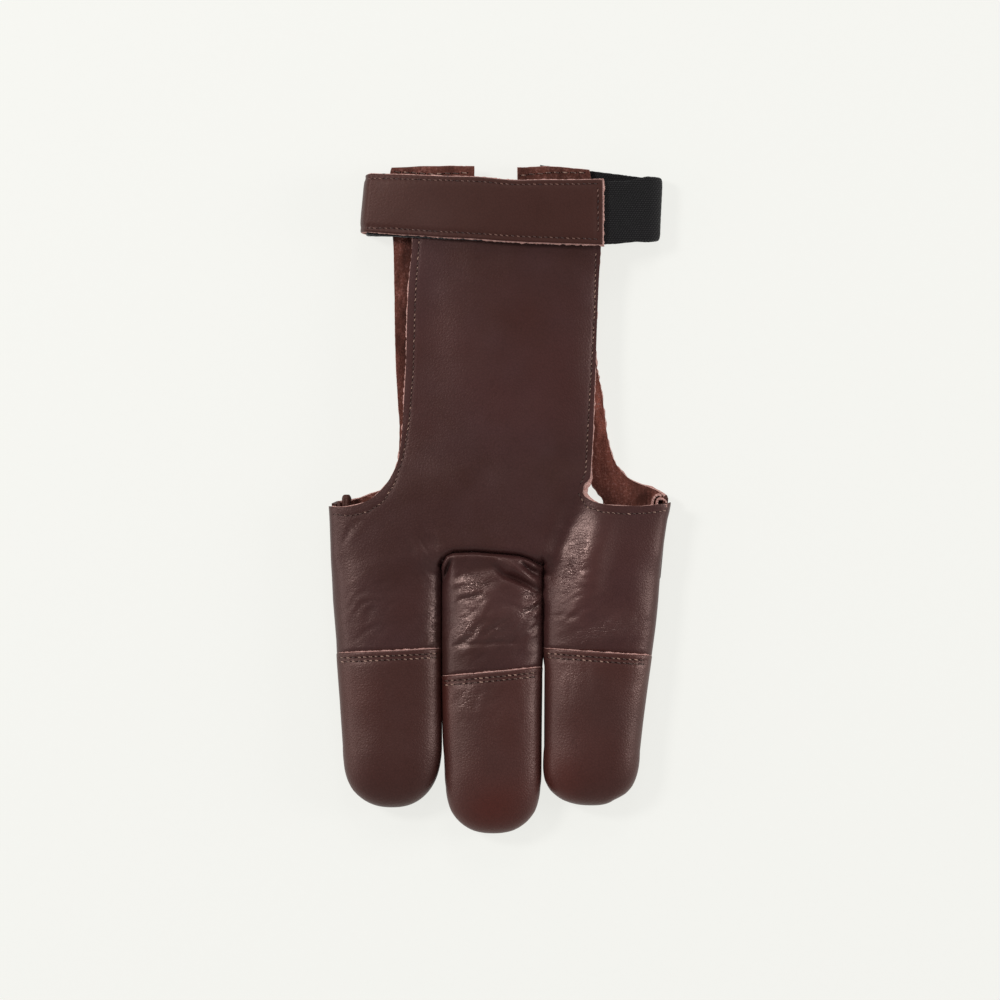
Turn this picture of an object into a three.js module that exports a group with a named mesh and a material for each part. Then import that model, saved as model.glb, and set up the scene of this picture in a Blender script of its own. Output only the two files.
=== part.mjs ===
// A three-finger leather archery glove, closed at the wrist and laid on its back on a flat surface.
// Millimetres. +X is across the fingers, +Y runs towards the wrist, +Z points up from the surface.
// The front is the side that faces up: a hand panel with the two outer fingers, a middle finger
// sewn into it and a reinforcing cap on each fingertip. The rear lies on the surface: three finger
// backs and two wrist tabs round an open palm. A leather strap and an elastic close the wrist.
import * as THREE from "three";

// Driving sizes.
const gloveLength = 200; // wrist tabs to the middle fingertip
const knuckleWidth = 101; // side seam to side seam at the mouths of the outer fingers
const leather = 1.3; // front and rear leather
const capLeather = 1.4; // reinforcing leather of the fingertip caps
const seamHeight = 5.5; // side seams above the surface
const fingerRise = 8; // front of a finger above its side seams
const knuckleRise = 8.4; // front of the knuckles above the side seams
const wristRise = 13.2; // crest of the hand panel above the surface at the wrist
const wristDroop = 2.4; // how far the hand panel's long edges hang below its crest
const capOverlap = 6; // finger leather that runs on under a cap
const capLead = 2.2; // length over which that leather dips below the cap
const strapLeather = 1.3;
const tapeThickness = 1; // woven tape that lines the strap
const patchThickness = 1; // loop patch on the left wrist tab
const elasticThickness = 1.2;
const allowanceWidth = 3; // turned edges of a side seam, inside the glove
const allowanceThickness = 2.6;
const allowanceLength = 12;
const rolledEnd = 1.5; // radius of the left allowance's rolled end
const clearance = 0.3; // between any two pieces

// Places that several pieces share, as shares of the glove's length from the wrist end.
const mouth = 0.511; // level of the outer fingers' open mouths
const crotch = 0.616; // where the fingers part
const rootSeam = 0.581; // seam where the middle finger joins the hand panel
const frontValley = 0.54; // where the front's valleys between the fingers begin
const rearValley = 0.583; // where the rear's valleys between the fingers begin
const handBlend = 0.08; // length over which the hand panel rises into the knuckles

// Shape exponents: 2 is an ellipse, larger is boxier.
const fingerRoundness = 2.4;
const knuckleRoundness = 4;
const fingerFlat = 0.72; // flat share of a finger's back
const knuckleFlat = 0.9; // flat share of the knuckles' back

// Grid steps of the faceted leather.
const fingerSteps = 8;
const middleSteps = 6;
const capRows = 9;
const legRows = 5;
const rearFingerRows = 12;
const bandSteps = 2;
const lastTurn = 84; // degrees round a fingertip where its last row stands
const rowBend = 3; // rows run level at the glove's middle and bend towards its outer edges
const rimShare = 0.8; // a tip's closing rim, as a share of the width of the row before it

// Each finger's edges in plan, from its root to its tip: along is a share of the glove's length,
// left and right are shares of the knuckle width from the glove's middle.
const fingers = {
  left: {
    edges: [
      { along: 0.505, left: -0.5, right: -0.1755 },
      { along: crotch, left: -0.492, right: -0.1755 },
      { along: 0.726, left: -0.483, right: -0.1755 },
      { along: 0.801, left: -0.475, right: -0.1755 },
      { along: 0.868, left: -0.466, right: -0.1755 },
    ],
    tip: 0.961,
    dome: 0.093,
    roundness: 2.3,
    capEdge: { left: 0.728, right: 0.721 },
  },
  middle: {
    edges: [
      { along: 0.561, left: -0.1725, right: 0.1245 },
      { along: 0.762, left: -0.1725, right: 0.1245 },
      { along: 0.834, left: -0.168, right: 0.123 },
      { along: 0.906, left: -0.163, right: 0.122 },
    ],
    tip: 1,
    dome: 0.094,
    roundness: 2.2,
    capEdge: { left: 0.763, right: 0.749 },
  },
  right: {
    edges: [
      { along: 0.498, left: 0.1275, right: 0.5 },
      { along: crotch, left: 0.1275, right: 0.477 },
      { along: 0.681, left: 0.13, right: 0.465 },
      { along: 0.732, left: 0.132, right: 0.452 },
      { along: 0.784, left: 0.132, right: 0.438 },
      { along: 0.835, left: 0.132, right: 0.425 },
      { along: 0.876, left: 0.132, right: 0.416 },
    ],
    tip: 0.958,
    dome: 0.086,
    roundness: 2.5,
    capEdge: { left: 0.721, right: 0.732 },
  },
};

// The hand panel's rows from wrist to finger roots: left and right are its cut edges, each with its
// own along, and row is where the row crosses the middle.
const panelRows = [
  { left: -0.257, leftAlong: 0.024, row: 0.024, right: 0.301, rightAlong: 0.024 },
  { left: -0.257, leftAlong: 0.072, row: 0.072, right: 0.301, rightAlong: 0.072 },
  { left: -0.26, leftAlong: 0.12, row: 0.12, right: 0.299, rightAlong: 0.12 },
  { left: -0.269, leftAlong: 0.171, row: 0.171, right: 0.293, rightAlong: 0.171 },
  { left: -0.275, leftAlong: 0.231, row: 0.231, right: 0.288, rightAlong: 0.231 },
  { left: -0.278, leftAlong: 0.291, row: 0.291, right: 0.284, rightAlong: 0.291 },
  { left: -0.284, leftAlong: 0.351, row: 0.351, right: 0.279, rightAlong: 0.351 },
  { left: -0.29, leftAlong: 0.399, row: 0.405, right: 0.275, rightAlong: 0.405 },
  { left: -0.299, leftAlong: 0.435, row: 0.444, right: 0.27, rightAlong: 0.444 },
  { left: -0.316, leftAlong: 0.459, row: 0.468, right: 0.266, rightAlong: 0.466 },
  { left: -0.343, leftAlong: 0.48, row: 0.486, right: 0.248, rightAlong: 0.478 },
  { left: -0.382, leftAlong: 0.496, row: 0.498, right: 0.245, rightAlong: 0.49 },
  { left: -0.42, leftAlong: 0.505, row: 0.509, right: 0.275, rightAlong: 0.502 },
  { left: -0.462, leftAlong: 0.51, row: 0.52, right: 0.334, rightAlong: 0.508 },
  { left: -0.486, leftAlong: mouth, row: 0.531, right: 0.417, rightAlong: 0.509 },
  { left: -0.495, leftAlong: 0.512, row: 0.538, right: 0.466, rightAlong: 0.508 },
  { left: -0.5, leftAlong: 0.513, row: 0.545, right: 0.498, rightAlong: 0.506, seam: true },
  { left: -0.5, leftAlong: 0.537, row: 0.555, right: 0.496, rightAlong: 0.528, seam: true },
  { left: -0.498, leftAlong: 0.561, row: 0.567, right: 0.489, rightAlong: 0.556, seam: true },
  { left: -0.495, leftAlong: rootSeam, row: rootSeam, right: 0.484, rightAlong: rootSeam, seam: true },
];

// The rear's rows: outer edges, and the inner edges of the two wrist tabs round the open palm.
const rearRows = [
  { left: -0.328, leftAlong: 0, inLeft: -0.076, inRight: 0.052, inAlong: 0, right: 0.269, rightAlong: 0 },
  { left: -0.328, leftAlong: 0.036, inLeft: -0.076, inRight: 0.052, inAlong: 0.036, right: 0.272, rightAlong: 0.036 },
  { left: -0.325, leftAlong: 0.072, inLeft: -0.076, inRight: 0.055, inAlong: 0.072, right: 0.275, rightAlong: 0.072 },
  { left: -0.316, leftAlong: 0.125, inLeft: -0.076, inRight: 0.061, inAlong: 0.125, right: 0.275, rightAlong: 0.125 },
  { left: -0.31, leftAlong: 0.201, inLeft: -0.082, inRight: 0.088, inAlong: 0.201, right: 0.281, rightAlong: 0.201 },
  { left: -0.307, leftAlong: 0.279, inLeft: -0.105, inRight: 0.129, inAlong: 0.285, right: 0.29, rightAlong: 0.282 },
  { left: -0.301, leftAlong: 0.345, inLeft: -0.138, inRight: 0.177, inAlong: 0.354, right: 0.307, rightAlong: 0.345 },
  { left: -0.296, leftAlong: 0.393, inLeft: -0.165, inRight: 0.224, inAlong: 0.408, right: 0.319, rightAlong: 0.396 },
  { left: -0.304, leftAlong: 0.429, inLeft: -0.189, inRight: 0.254, inAlong: 0.444, right: 0.334, rightAlong: 0.429 },
  { left: -0.322, leftAlong: 0.456, inLeft: -0.209, inRight: 0.281, inAlong: 0.474, right: 0.361, rightAlong: 0.453 },
  { left: -0.349, leftAlong: 0.478, inLeft: -0.233, inRight: 0.307, inAlong: 0.501, right: 0.405, rightAlong: 0.471 },
  { left: -0.402, leftAlong: 0.495, inLeft: -0.242, inRight: 0.316, inAlong: 0.521, right: 0.456, rightAlong: 0.481 },
  { left: -0.456, leftAlong: 0.502, inLeft: -0.233, inRight: 0.304, inAlong: 0.537, right: 0.486, rightAlong: 0.489 },
  { left: -0.5, leftAlong: 0.505, inLeft: -0.209, inRight: 0.248, inAlong: 0.552, right: 0.5, rightAlong: 0.498, seam: true },
  { left: -0.5, leftAlong: 0.531, inLeft: -0.19, inRight: 0.165, inAlong: 0.561, right: 0.498, rightAlong: 0.528, seam: true },
  { left: -0.498, leftAlong: 0.553, inAlong: 0.567, right: 0.492, rightAlong: 0.553, seam: true },
  { left: -0.495, leftAlong: 0.583, inAlong: 0.585, right: 0.484, rightAlong: 0.583, seam: true },
  { left: -0.493, leftAlong: 0.6, inAlong: 0.601, right: 0.48, rightAlong: 0.6, seam: true },
];

// The hand panel's crest and the droop of its long edges, as shares of the wrist's, down to the knuckles.
const handRows = [
  { along: 0, crest: 1, droop: 1 },
  { along: 0.25, crest: 0.97, droop: 1.1 },
  { along: 0.42, crest: 1, droop: 0.7 },
  { along: mouth, crest: 1.05, droop: 0.2 },
];

// Main folds of the front: a ridge or a trough between two places, its half width as a share of the
// knuckle width and its height as a share of the finger rise.
const folds = [
  { across: 0.28, along: 0.53, toAcross: 0.19, toAlong: 0.7, halfWidth: 0.045, height: 0.15 },
  { across: 0.225, along: 0.52, toAcross: 0.14, toAlong: 0.6, halfWidth: 0.035, height: -0.22 },
  { across: -0.17, along: rootSeam, toAcross: 0.12, toAlong: rootSeam, halfWidth: 0.014, height: -0.16 },
];

// Plan edges of the wrist bands: across as a share of the knuckle width, top and bottom as alongs.
const strapRun = [
  { across: 0.306, top: 0.021, bottom: 0.12 },
  { across: 0.156, top: 0.022, bottom: 0.118 },
  { across: 0.049, top: 0.021, bottom: 0.116 },
  { across: -0.073, top: 0.017, bottom: 0.112 },
  { across: -0.203, top: 0.016, bottom: 0.108 },
  { across: -0.325, top: 0.013, bottom: 0.103 },
];
const strapFold = { across: -0.408, reach: 0.045, top: 0.012, bottom: 0.1 };
const strapTail = { across: -0.1, top: 0.015, bottom: 0.107 };
const elasticRun = { across: 0.27, top: 0.0225, bottom: 0.1175 };
const elasticFold = { across: 0.483, reach: 0.04, top: 0.017, bottom: 0.112 };
const elasticRear = { across: 0.12, top: 0.006, bottom: 0.101 };
const patch = { left: -0.334, right: -0.14, top: 0.018, bottom: 0.1 };
// Where the side seams' turned edges begin, and how far in from the leather they lie.
const allowances = {
  left: { along: 0.492, inset: 0.0095, rolled: true },
  right: { along: 0.489, inset: 0.013, rolled: false },
};

// Heights of the wrist's layers, from the surface up.
const rightTabLift = elasticThickness + clearance;
const leftTabLift = strapLeather + tapeThickness + patchThickness + 3 * clearance;
const liftFrom = 0.34; // along where the tabs begin to rise off the surface
const liftTo = 0.13; // and where they are level
const lining = Math.max(tapeThickness, elasticThickness); // layer between hand panel and strap
const strapStack = lining + strapLeather + 2 * clearance;

const across = (share) => share * knuckleWidth;
const down = (share) => gloveLength * (0.5 - share);
const smooth = (value, from, to) =>
  from < to ? THREE.MathUtils.smoothstep(value, from, to) : 1 - THREE.MathUtils.smoothstep(value, to, from);
const lerp = THREE.MathUtils.lerp;

// A column of a table at a place along it.
function readTable(rows, column, along) {
  const next = rows.findIndex((row) => row.along > along);
  if (next === 0) return rows[0][column];
  if (next < 0) return rows[rows.length - 1][column];
  const before = rows[next - 1];
  const share = (along - before.along) / (rows[next].along - before.along);
  return lerp(before[column], rows[next][column], share);
}

const arch = (t, power) => Math.max(0, 1 - Math.abs(t) ** power) ** (1 / power);

function flatArch(t, flat) {
  const past = Math.max(0, Math.abs(t) - flat) / (1 - flat);
  return Math.sqrt(Math.max(0, 1 - past * past));
}

// How much of its full width a finger keeps at a place along it: 1, then the rounded tip.
function tipShrink(finger, along, power) {
  const past = Math.max(0, along - (finger.tip - finger.dome)) / finger.dome;
  return arch(Math.min(past, 1), power);
}

function fingerSection(finger, along) {
  const left = across(readTable(finger.edges, "left", along));
  const right = across(readTable(finger.edges, "right", along));
  const shrink = tipShrink(finger, along, finger.roundness);
  return { centre: (left + right) / 2, half: ((right - left) / 2) * shrink, shrink };
}

function fingerHolding(x) {
  if (x < across((fingers.left.edges[0].right + fingers.middle.edges[0].left) / 2)) return fingers.left;
  if (x < across((fingers.middle.edges[0].right + fingers.right.edges[0].left) / 2)) return fingers.middle;
  return fingers.right;
}

// The whole width across the knuckles, which keeps the mouth's width above the mouth.
function knuckleShare(x, along) {
  const left = across(readTable(fingers.left.edges, "left", along));
  const right = across(readTable(fingers.right.edges, "right", along));
  return THREE.MathUtils.clamp((2 * x - left - right) / (right - left), -1, 1);
}

function foldHeight(x, along) {
  let height = 0;
  for (const fold of folds) {
    const from = new THREE.Vector2(across(fold.across), down(fold.along));
    const run = new THREE.Vector2(across(fold.toAcross), down(fold.toAlong)).sub(from);
    const place = new THREE.Vector2(x, down(along)).sub(from);
    const share = THREE.MathUtils.clamp(place.dot(run) / run.lengthSq(), 0, 1);
    const away = place.addScaledVector(run, -share).length() / across(fold.halfWidth);
    height += fold.height * fingerRise * Math.exp(-away * away);
  }
  return height;
}

const frontSeam = seamHeight + clearance / 2;
const rearSeam = seamHeight - clearance / 2;

// Height of the front's grain face over a place in plan, above the crotch.
function frontHeight(x, along) {
  const knuckles = frontSeam + knuckleRise * arch(knuckleShare(x, along), knuckleRoundness);
  const section = fingerSection(fingerHolding(x), along);
  const ownArch = arch(THREE.MathUtils.clamp((x - section.centre) / section.half, -1, 1), fingerRoundness);
  const body = lerp(knuckles, frontSeam + fingerRise * ownArch, smooth(along, frontValley, crotch));
  const panelMiddle = across(0.01);
  const panelHalf = across(0.285);
  const offMiddle = (x - panelMiddle) / panelHalf;
  const crest = wristRise * readTable(handRows, "crest", along);
  const droop = wristDroop * readTable(handRows, "droop", along) * offMiddle * offMiddle;
  const hand = crest - droop;
  const slope = lerp(body, hand, smooth(along, mouth, mouth - handBlend));
  const sideFade = arch(knuckleShare(x, along), knuckleRoundness);
  return slope + foldHeight(x, along) * sideFade;
}

// Height of the rear's grain face, which faces down, over a place in plan.
function rearHeight(x, along) {
  const knuckles = flatArch(knuckleShare(x, along), knuckleFlat);
  const section = fingerSection(fingerHolding(x), along);
  const own = flatArch(THREE.MathUtils.clamp((x - section.centre) / section.half, -1, 1), fingerFlat);
  const body = rearSeam * (1 - lerp(knuckles, own, smooth(along, rearValley, crotch)));
  const lift = x < 0 ? leftTabLift : rightTabLift;
  return body + lift * smooth(along, liftFrom, liftTo);
}

// Spacing across a finger that crowds towards both side seams.
const crowded = (share) => (1 - Math.cos(Math.PI * share)) / 2;

// One closed sheet of leather, tape or elastic. grid holds rows of points on its outer face, present
// says which cells exist, and faceUp is true where that face looks up from rows that run down the
// glove. A point's rim direction, where it has one, is the way its thickness goes.
function sheet(grid, thickness, faceUp, present = () => true) {
  const rows = grid.length;
  const columns = grid[0].length;
  const has = (i, j) => i >= 0 && j >= 0 && i < rows - 1 && j < columns - 1 && present(i, j);
  const at = (i, j) => i * columns + j;
  const normals = grid.map((row) => row.map(() => new THREE.Vector3()));
  for (let i = 0; i < rows - 1; i++) {
    for (let j = 0; j < columns - 1; j++) {
      if (!has(i, j)) continue;
      const diagonal = grid[i + 1][j + 1].point.clone().sub(grid[i][j].point);
      const other = grid[i + 1][j].point.clone().sub(grid[i][j + 1].point);
      const normal = diagonal.cross(other).multiplyScalar(faceUp ? -1 : 1);
      for (const [a, b] of [[i, j], [i, j + 1], [i + 1, j], [i + 1, j + 1]]) normals[a][b].add(normal);
    }
  }
  const positions = [];
  for (const inner of [false, true]) {
    for (let i = 0; i < rows; i++) {
      for (let j = 0; j < columns; j++) {
        const { point, seam } = grid[i][j];
        const normal = normals[i][j];
        if (seam) normal.z = 0;
        normal.normalize();
        const placed = point.clone().addScaledVector(normal, inner ? -thickness : 0);
        positions.push(placed.x, placed.y, placed.z);
      }
    }
  }
  const innerShift = rows * columns;
  const triangles = [];
  const quad = (a, b, c, d) => triangles.push(a, b, c, a, c, d);
  const wall = (from, to) => quad(to, from, from + innerShift, to + innerShift);
  for (let i = 0; i < rows - 1; i++) {
    for (let j = 0; j < columns - 1; j++) {
      if (!has(i, j)) continue;
      const ring = [at(i, j), at(i + 1, j), at(i + 1, j + 1), at(i, j + 1)];
      const neighbours = [has(i, j - 1), has(i + 1, j), has(i, j + 1), has(i - 1, j)];
      const outer = faceUp ? ring : [ring[0], ring[3], ring[2], ring[1]];
      const inner = [outer[3], outer[2], outer[1], outer[0]].map((v) => v + innerShift);
      quad(...outer);
      quad(...inner);
      for (let side = 0; side < 4; side++) {
        if (neighbours[side]) continue;
        const from = ring[side];
        const to = ring[(side + 1) % 4];
        if (faceUp) wall(from, to);
        else wall(to, from);
      }
    }
  }
  const used = new Map();
  const kept = [];
  const index = triangles.map((v) => {
    if (!used.has(v)) {
      used.set(v, used.size);
      kept.push(positions[3 * v], positions[3 * v + 1], positions[3 * v + 2]);
    }
    return used.get(v);
  });
  const geometry = new THREE.BufferGeometry();
  geometry.setAttribute("position", new THREE.Float32BufferAttribute(kept, 3));
  geometry.setIndex(index);
  geometry.computeVertexNormals();
  return geometry;
}

const spot = (x, along, z, seam = false) => ({ point: new THREE.Vector3(x, down(along), z), seam });

// How far the finger leather has dipped under its cap at a place along the finger.
function capDip(finger, x, along) {
  const edge = capEdgeAt(finger, x);
  const lead = capLead / gloveLength;
  return (capLeather + 1.7 * clearance) * smooth(along, edge - lead, edge - lead / 6);
}

function capEdgeAt(finger, x) {
  const { centre, half } = fingerSection(finger, finger.capEdge.left);
  const share = THREE.MathUtils.clamp((x - centre + half) / (2 * half), 0, 1);
  return lerp(finger.capEdge.left, finger.capEdge.right, share);
}

// A point on a finger below the crotch; turn runs from 0 at its left side seam to 1 at its right.
function frontFingerPoint(finger, along, turn, dips) {
  const { centre, half, shrink } = fingerSection(finger, along);
  const t = -Math.cos(Math.PI * turn);
  const dip = dips ? capDip(finger, centre + half * t, along) : 0;
  const z = frontSeam + (fingerRise * shrink - dip) * arch(t, fingerRoundness);
  return spot(centre + (half - dip) * t, along, z, turn === 0 || turn === 1);
}

function rearFingerPoint(finger, along, turn) {
  const { centre, half } = fingerSection(finger, along);
  const t = -Math.cos(Math.PI * turn);
  const belly = tipShrink(finger, along, 2 * finger.roundness);
  const z = rearSeam * (1 - belly * flatArch(t, fingerFlat));
  return spot(centre + half * t, along, z, turn === 0 || turn === 1);
}

// Places along a finger from a start to its tip, crowded round the tip.
function alongToTip(finger, start, rows) {
  const domeStart = finger.tip - finger.dome;
  const domeRows = Math.round(rows / 2);
  const straightRows = rows - domeRows;
  const places = [];
  for (let i = 0; i < straightRows; i++) places.push(lerp(start, domeStart, i / straightRows));
  for (let i = 0; i <= domeRows; i++) {
    const angle = THREE.MathUtils.degToRad((lastTurn * i) / domeRows);
    places.push(domeStart + finger.dome * Math.sin(angle));
  }
  return places;
}

const turns = Array.from({ length: fingerSteps + 1 }, (_, i) => i / fingerSteps);
const middleTurns = Array.from({ length: middleSteps + 1 }, (_, i) => i / middleSteps);

// The last row of a fingertip is a short rim on the side seam, at the height given.
function tipRim(finger, height) {
  const before = finger.tip - finger.dome * (1 - Math.sin(THREE.MathUtils.degToRad(lastTurn)));
  const { centre, half } = fingerSection(finger, before);
  return turns.map((turn) => spot(centre - rimShare * half * Math.cos(Math.PI * turn), finger.tip, height, true));
}

function fingerCap(finger) {
  const places = alongToTip(finger, (finger.capEdge.left + finger.capEdge.right) / 2, capRows);
  const slant = (finger.capEdge.right - finger.capEdge.left) / 2;
  const grid = places.map((place, i) => {
    const tilt = slant * (1 - i / capRows) ** 2;
    return turns.map((turn) => frontFingerPoint(finger, place + tilt * (2 * crowded(turn) - 1), turn, false));
  });
  grid.push(tipRim(finger, frontSeam));
  return sheet(grid, capLeather, true);
}

// Finger leather from the crotch to its hidden end under the cap.
function legGrid(finger, columns) {
  const overlap = capOverlap / gloveLength;
  const lead = capLead / gloveLength;
  const stops = [-lead, 0, overlap / 2, overlap];
  const rows = [];
  for (let i = 1; i <= legRows + stops.length; i++) {
    rows.push(
      columns.map((turn) => {
        const edge = lerp(finger.capEdge.left, finger.capEdge.right, crowded(turn));
        const straightEnd = edge - 2 * lead;
        const along = i <= legRows ? lerp(crotch, straightEnd, (i - 1) / (legRows - 1)) : edge + stops[i - legRows - 1];
        return frontFingerPoint(finger, along, turn, true);
      }),
    );
  }
  return rows;
}

// A row across a finger between the root seam and the crotch, where the fingers are still one.
function rootRow(finger, along, seamTurn) {
  return turns.map((turn) => {
    const { centre, half } = fingerSection(finger, along);
    const x = centre - half * Math.cos(Math.PI * turn);
    return spot(x, along, turn === seamTurn ? frontSeam : frontHeight(x, along), turn === seamTurn);
  });
}

function frontPanel() {
  const web = { left: fingers.middle.edges[0].left, right: fingers.middle.edges[0].right };
  const leftInner = fingers.left.edges[0].right;
  const rightInner = fingers.right.edges[0].left;
  const grid = panelRows.map((row) => {
    const onFront = (share, along, seam) => {
      const x = across(share);
      return spot(x, along, seam ? frontSeam : frontHeight(x, along), seam);
    };
    const points = [];
    for (const turn of turns) {
      const share = crowded(turn);
      const place = lerp(row.left, leftInner, share);
      const along = lerp(row.row, row.leftAlong, (1 - share) ** rowBend);
      points.push(onFront(place, along, Boolean(row.seam) && turn === 0));
    }
    for (const turn of middleTurns) points.push(onFront(lerp(web.left, web.right, turn), row.row, false));
    for (const turn of turns) {
      const share = crowded(turn);
      const place = lerp(rightInner, row.right, share);
      const along = lerp(row.row, row.rightAlong, share ** rowBend);
      points.push(onFront(place, along, Boolean(row.seam) && turn === 1));
    }
    return points;
  });
  const half = (rootSeam + crotch) / 2;
  const leftLeg = [rootRow(fingers.left, half, 0), ...legGrid(fingers.left, turns)];
  const rightLeg = [rootRow(fingers.right, half, 1), ...legGrid(fingers.right, turns)];
  const spare = grid[grid.length - 1].slice(fingerSteps + 1, fingerSteps + 1 + middleTurns.length);
  leftLeg.forEach((row, i) => grid.push([...row, ...spare, ...rightLeg[i]]));
  const lastHandRow = panelRows.length - 1;
  const inMiddle = (j) => j >= fingerSteps && j < fingerSteps + middleSteps + 2;
  return sheet(grid, leather, true, (i, j) => i < lastHandRow || !inMiddle(j));
}

function middleFingerFront() {
  const finger = fingers.middle;
  const start = rootSeam + clearance / gloveLength;
  const rows = [start, (start + crotch) / 2].map((along) => rootRow(finger, along));
  return sheet([...rows, ...legGrid(finger, turns)], leather, true);
}

function rearPanel() {
  const { left, middle, right } = fingers;
  const inner = { left: left.edges[0].right, right: right.edges[0].left };
  const onRear = (share, along, seam) => {
    const x = across(share);
    return spot(x, along, seam ? rearSeam : rearHeight(x, along), seam);
  };
  const grid = rearRows.map((row) => {
    const inLeft = row.inLeft ?? inner.left;
    const inRight = row.inRight ?? inner.right;
    const points = [];
    for (const turn of turns) {
      const share = crowded(turn);
      const along = lerp(row.inAlong, row.leftAlong, (1 - share) ** rowBend);
      points.push(onRear(lerp(row.left, inLeft, share), along, Boolean(row.seam) && turn === 0));
    }
    for (const turn of turns) {
      const place = lerp(middle.edges[0].left, middle.edges[0].right, crowded(turn));
      points.push(onRear(place, row.inAlong, false));
    }
    for (const turn of turns) {
      const share = crowded(turn);
      const along = lerp(row.inAlong, row.rightAlong, share ** rowBend);
      points.push(onRear(lerp(inRight, row.right, share), along, Boolean(row.seam) && turn === 1));
    }
    return points;
  });
  const places = [left, middle, right].map((finger) => alongToTip(finger, crotch, rearFingerRows));
  for (let i = 0; i <= rearFingerRows; i++) {
    grid.push(
      [left, middle, right].flatMap((finger, k) => turns.map((turn) => rearFingerPoint(finger, places[k][i], turn))),
    );
  }
  grid.push([left, middle, right].flatMap((finger) => tipRim(finger, rearSeam)));
  const palmRows = rearRows.filter((row) => row.inLeft !== undefined).length;
  const crotchRow = rearRows.length;
  const span = fingerSteps + 1;
  const present = (i, j) => {
    const isWeb = j === span - 1 || j === 2 * span - 1;
    const isMiddle = j >= span - 1 && j < 2 * span;
    if (i < palmRows) return !isMiddle;
    return i < crotchRow || !isWeb;
  };
  return sheet(grid, leather, false, present);
}

// Height of the hand panel's grain face under the wrist bands, carried on past its cut edges.
const wristHeight = (x) => wristRise - wristDroop * ((x - across(0.01)) / across(0.285)) ** 2;

// A band's path round a wrist loop: along the top to a fold, round it, and back along the bottom.
// Each step has a place across, a height of its outer face and its top and bottom edges.
function foldedPath(run, lift, fold, tail) {
  const side = Math.sign(fold.across);
  const reach = across(fold.reach);
  const turnX = across(fold.across) - side * reach;
  const steps = [];
  run.forEach((place, i) => {
    const next = run[i + 1] ?? place;
    for (const share of i < run.length - 1 ? [0, 0.5] : [0]) {
      const x = lerp(across(place.across), across(next.across), share);
      const z = wristHeight(x) + lift;
      steps.push({ x, z, top: lerp(place.top, next.top, share), bottom: lerp(place.bottom, next.bottom, share) });
    }
  });
  const start = wristHeight(turnX) + lift;
  const arcSteps = 8;
  for (let i = 0; i <= arcSteps; i++) {
    const angle = (Math.PI * i) / arcSteps;
    const z = (start / 2) * (1 + Math.cos(angle));
    steps.push({ x: turnX + side * reach * Math.sin(angle), z, top: fold.top, bottom: fold.bottom });
  }
  const tailSteps = 3;
  for (let i = 1; i <= tailSteps; i++) {
    const share = i / tailSteps;
    steps.push({
      x: lerp(turnX, across(tail.across), share),
      z: 0,
      top: lerp(fold.top, tail.top, share),
      bottom: lerp(fold.bottom, tail.bottom, share),
    });
  }
  return steps;
}

// The same path moved in towards the inside of the loop.
function insetPath(path, distance, side) {
  return path.map((step, i) => {
    const before = path[Math.max(0, i - 1)];
    const after = path[Math.min(path.length - 1, i + 1)];
    const run = new THREE.Vector2(after.x - before.x, after.z - before.z).normalize();
    const inward = new THREE.Vector2(-run.y, run.x).multiplyScalar(-side);
    return { ...step, x: step.x + inward.x * distance, z: step.z + inward.y * distance };
  });
}

function band(path, thickness, faceUp) {
  const grid = path.map(({ x, z, top, bottom }) =>
    Array.from({ length: bandSteps + 1 }, (_, j) => spot(x, lerp(top, bottom, j / bandSteps), z)),
  );
  return sheet(grid, thickness, faceUp);
}

const strapPath = foldedPath(strapRun, strapStack, strapFold, strapTail);
const elasticPath = foldedPath(
  [elasticRun, { ...elasticRun, across: (elasticRun.across + elasticFold.across) / 2 }],
  elasticThickness + clearance,
  elasticFold,
  elasticRear,
);

// The lining tape starts where the elastic ends and stops a little short of the strap's tail.
function strapLining() {
  const start = elasticRun.across - clearance / knuckleWidth;
  const tail = { ...strapTail, across: strapTail.across - tapeThickness / knuckleWidth };
  const path = foldedPath([{ ...strapRun[0], across: start }, ...strapRun.slice(1)], strapStack, strapFold, tail);
  return band(insetPath(path, strapLeather + clearance, -1), tapeThickness, true);
}

function loopPatch() {
  const geometry = new THREE.BoxGeometry(
    across(patch.right - patch.left),
    gloveLength * (patch.bottom - patch.top),
    patchThickness,
  );
  const z = leftTabLift - clearance - patchThickness / 2;
  return geometry.translate(across((patch.left + patch.right) / 2), down((patch.top + patch.bottom) / 2), z);
}

// The two layers of a side seam, turned inside the glove. side is -1 at the left and 1 at the right.
function seamAllowance({ along, inset, rolled }, side) {
  const outer = side * (knuckleWidth / 2 - leather - clearance - across(inset));
  const inner = outer - side * allowanceWidth;
  const half = allowanceThickness / 2;
  const outline = new THREE.Shape();
  outline.moveTo(outer, -half);
  if (rolled) {
    const reach = Math.sqrt(rolledEnd ** 2 - half ** 2);
    const start = Math.atan2(-half, side * reach);
    outline.absarc(inner + side * rolledEnd, 0, rolledEnd, start, -start, side > 0);
  } else {
    outline.lineTo(inner, -half);
    outline.lineTo(inner, half);
  }
  outline.lineTo(outer, half);
  outline.closePath();
  const geometry = new THREE.ExtrudeGeometry(outline, { depth: allowanceLength, bevelEnabled: false, curveSegments: 10 });
  geometry.rotateX(Math.PI / 2);
  return geometry.translate(0, down(along), seamHeight);
}

const grainLeather = new THREE.MeshStandardMaterial({ color: 0x46302c, roughness: 0.5, metalness: 0 });
const capFinish = new THREE.MeshStandardMaterial({ color: 0x4b302d, roughness: 0.45, metalness: 0 });
const rearLeather = new THREE.MeshStandardMaterial({ color: 0x4b2c24, roughness: 0.8, metalness: 0 });
const wovenElastic = new THREE.MeshStandardMaterial({ color: 0x211f20, roughness: 0.85, metalness: 0 });
const blackTape = new THREE.MeshStandardMaterial({ color: 0x1b1a1b, roughness: 0.95, metalness: 0 });

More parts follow.
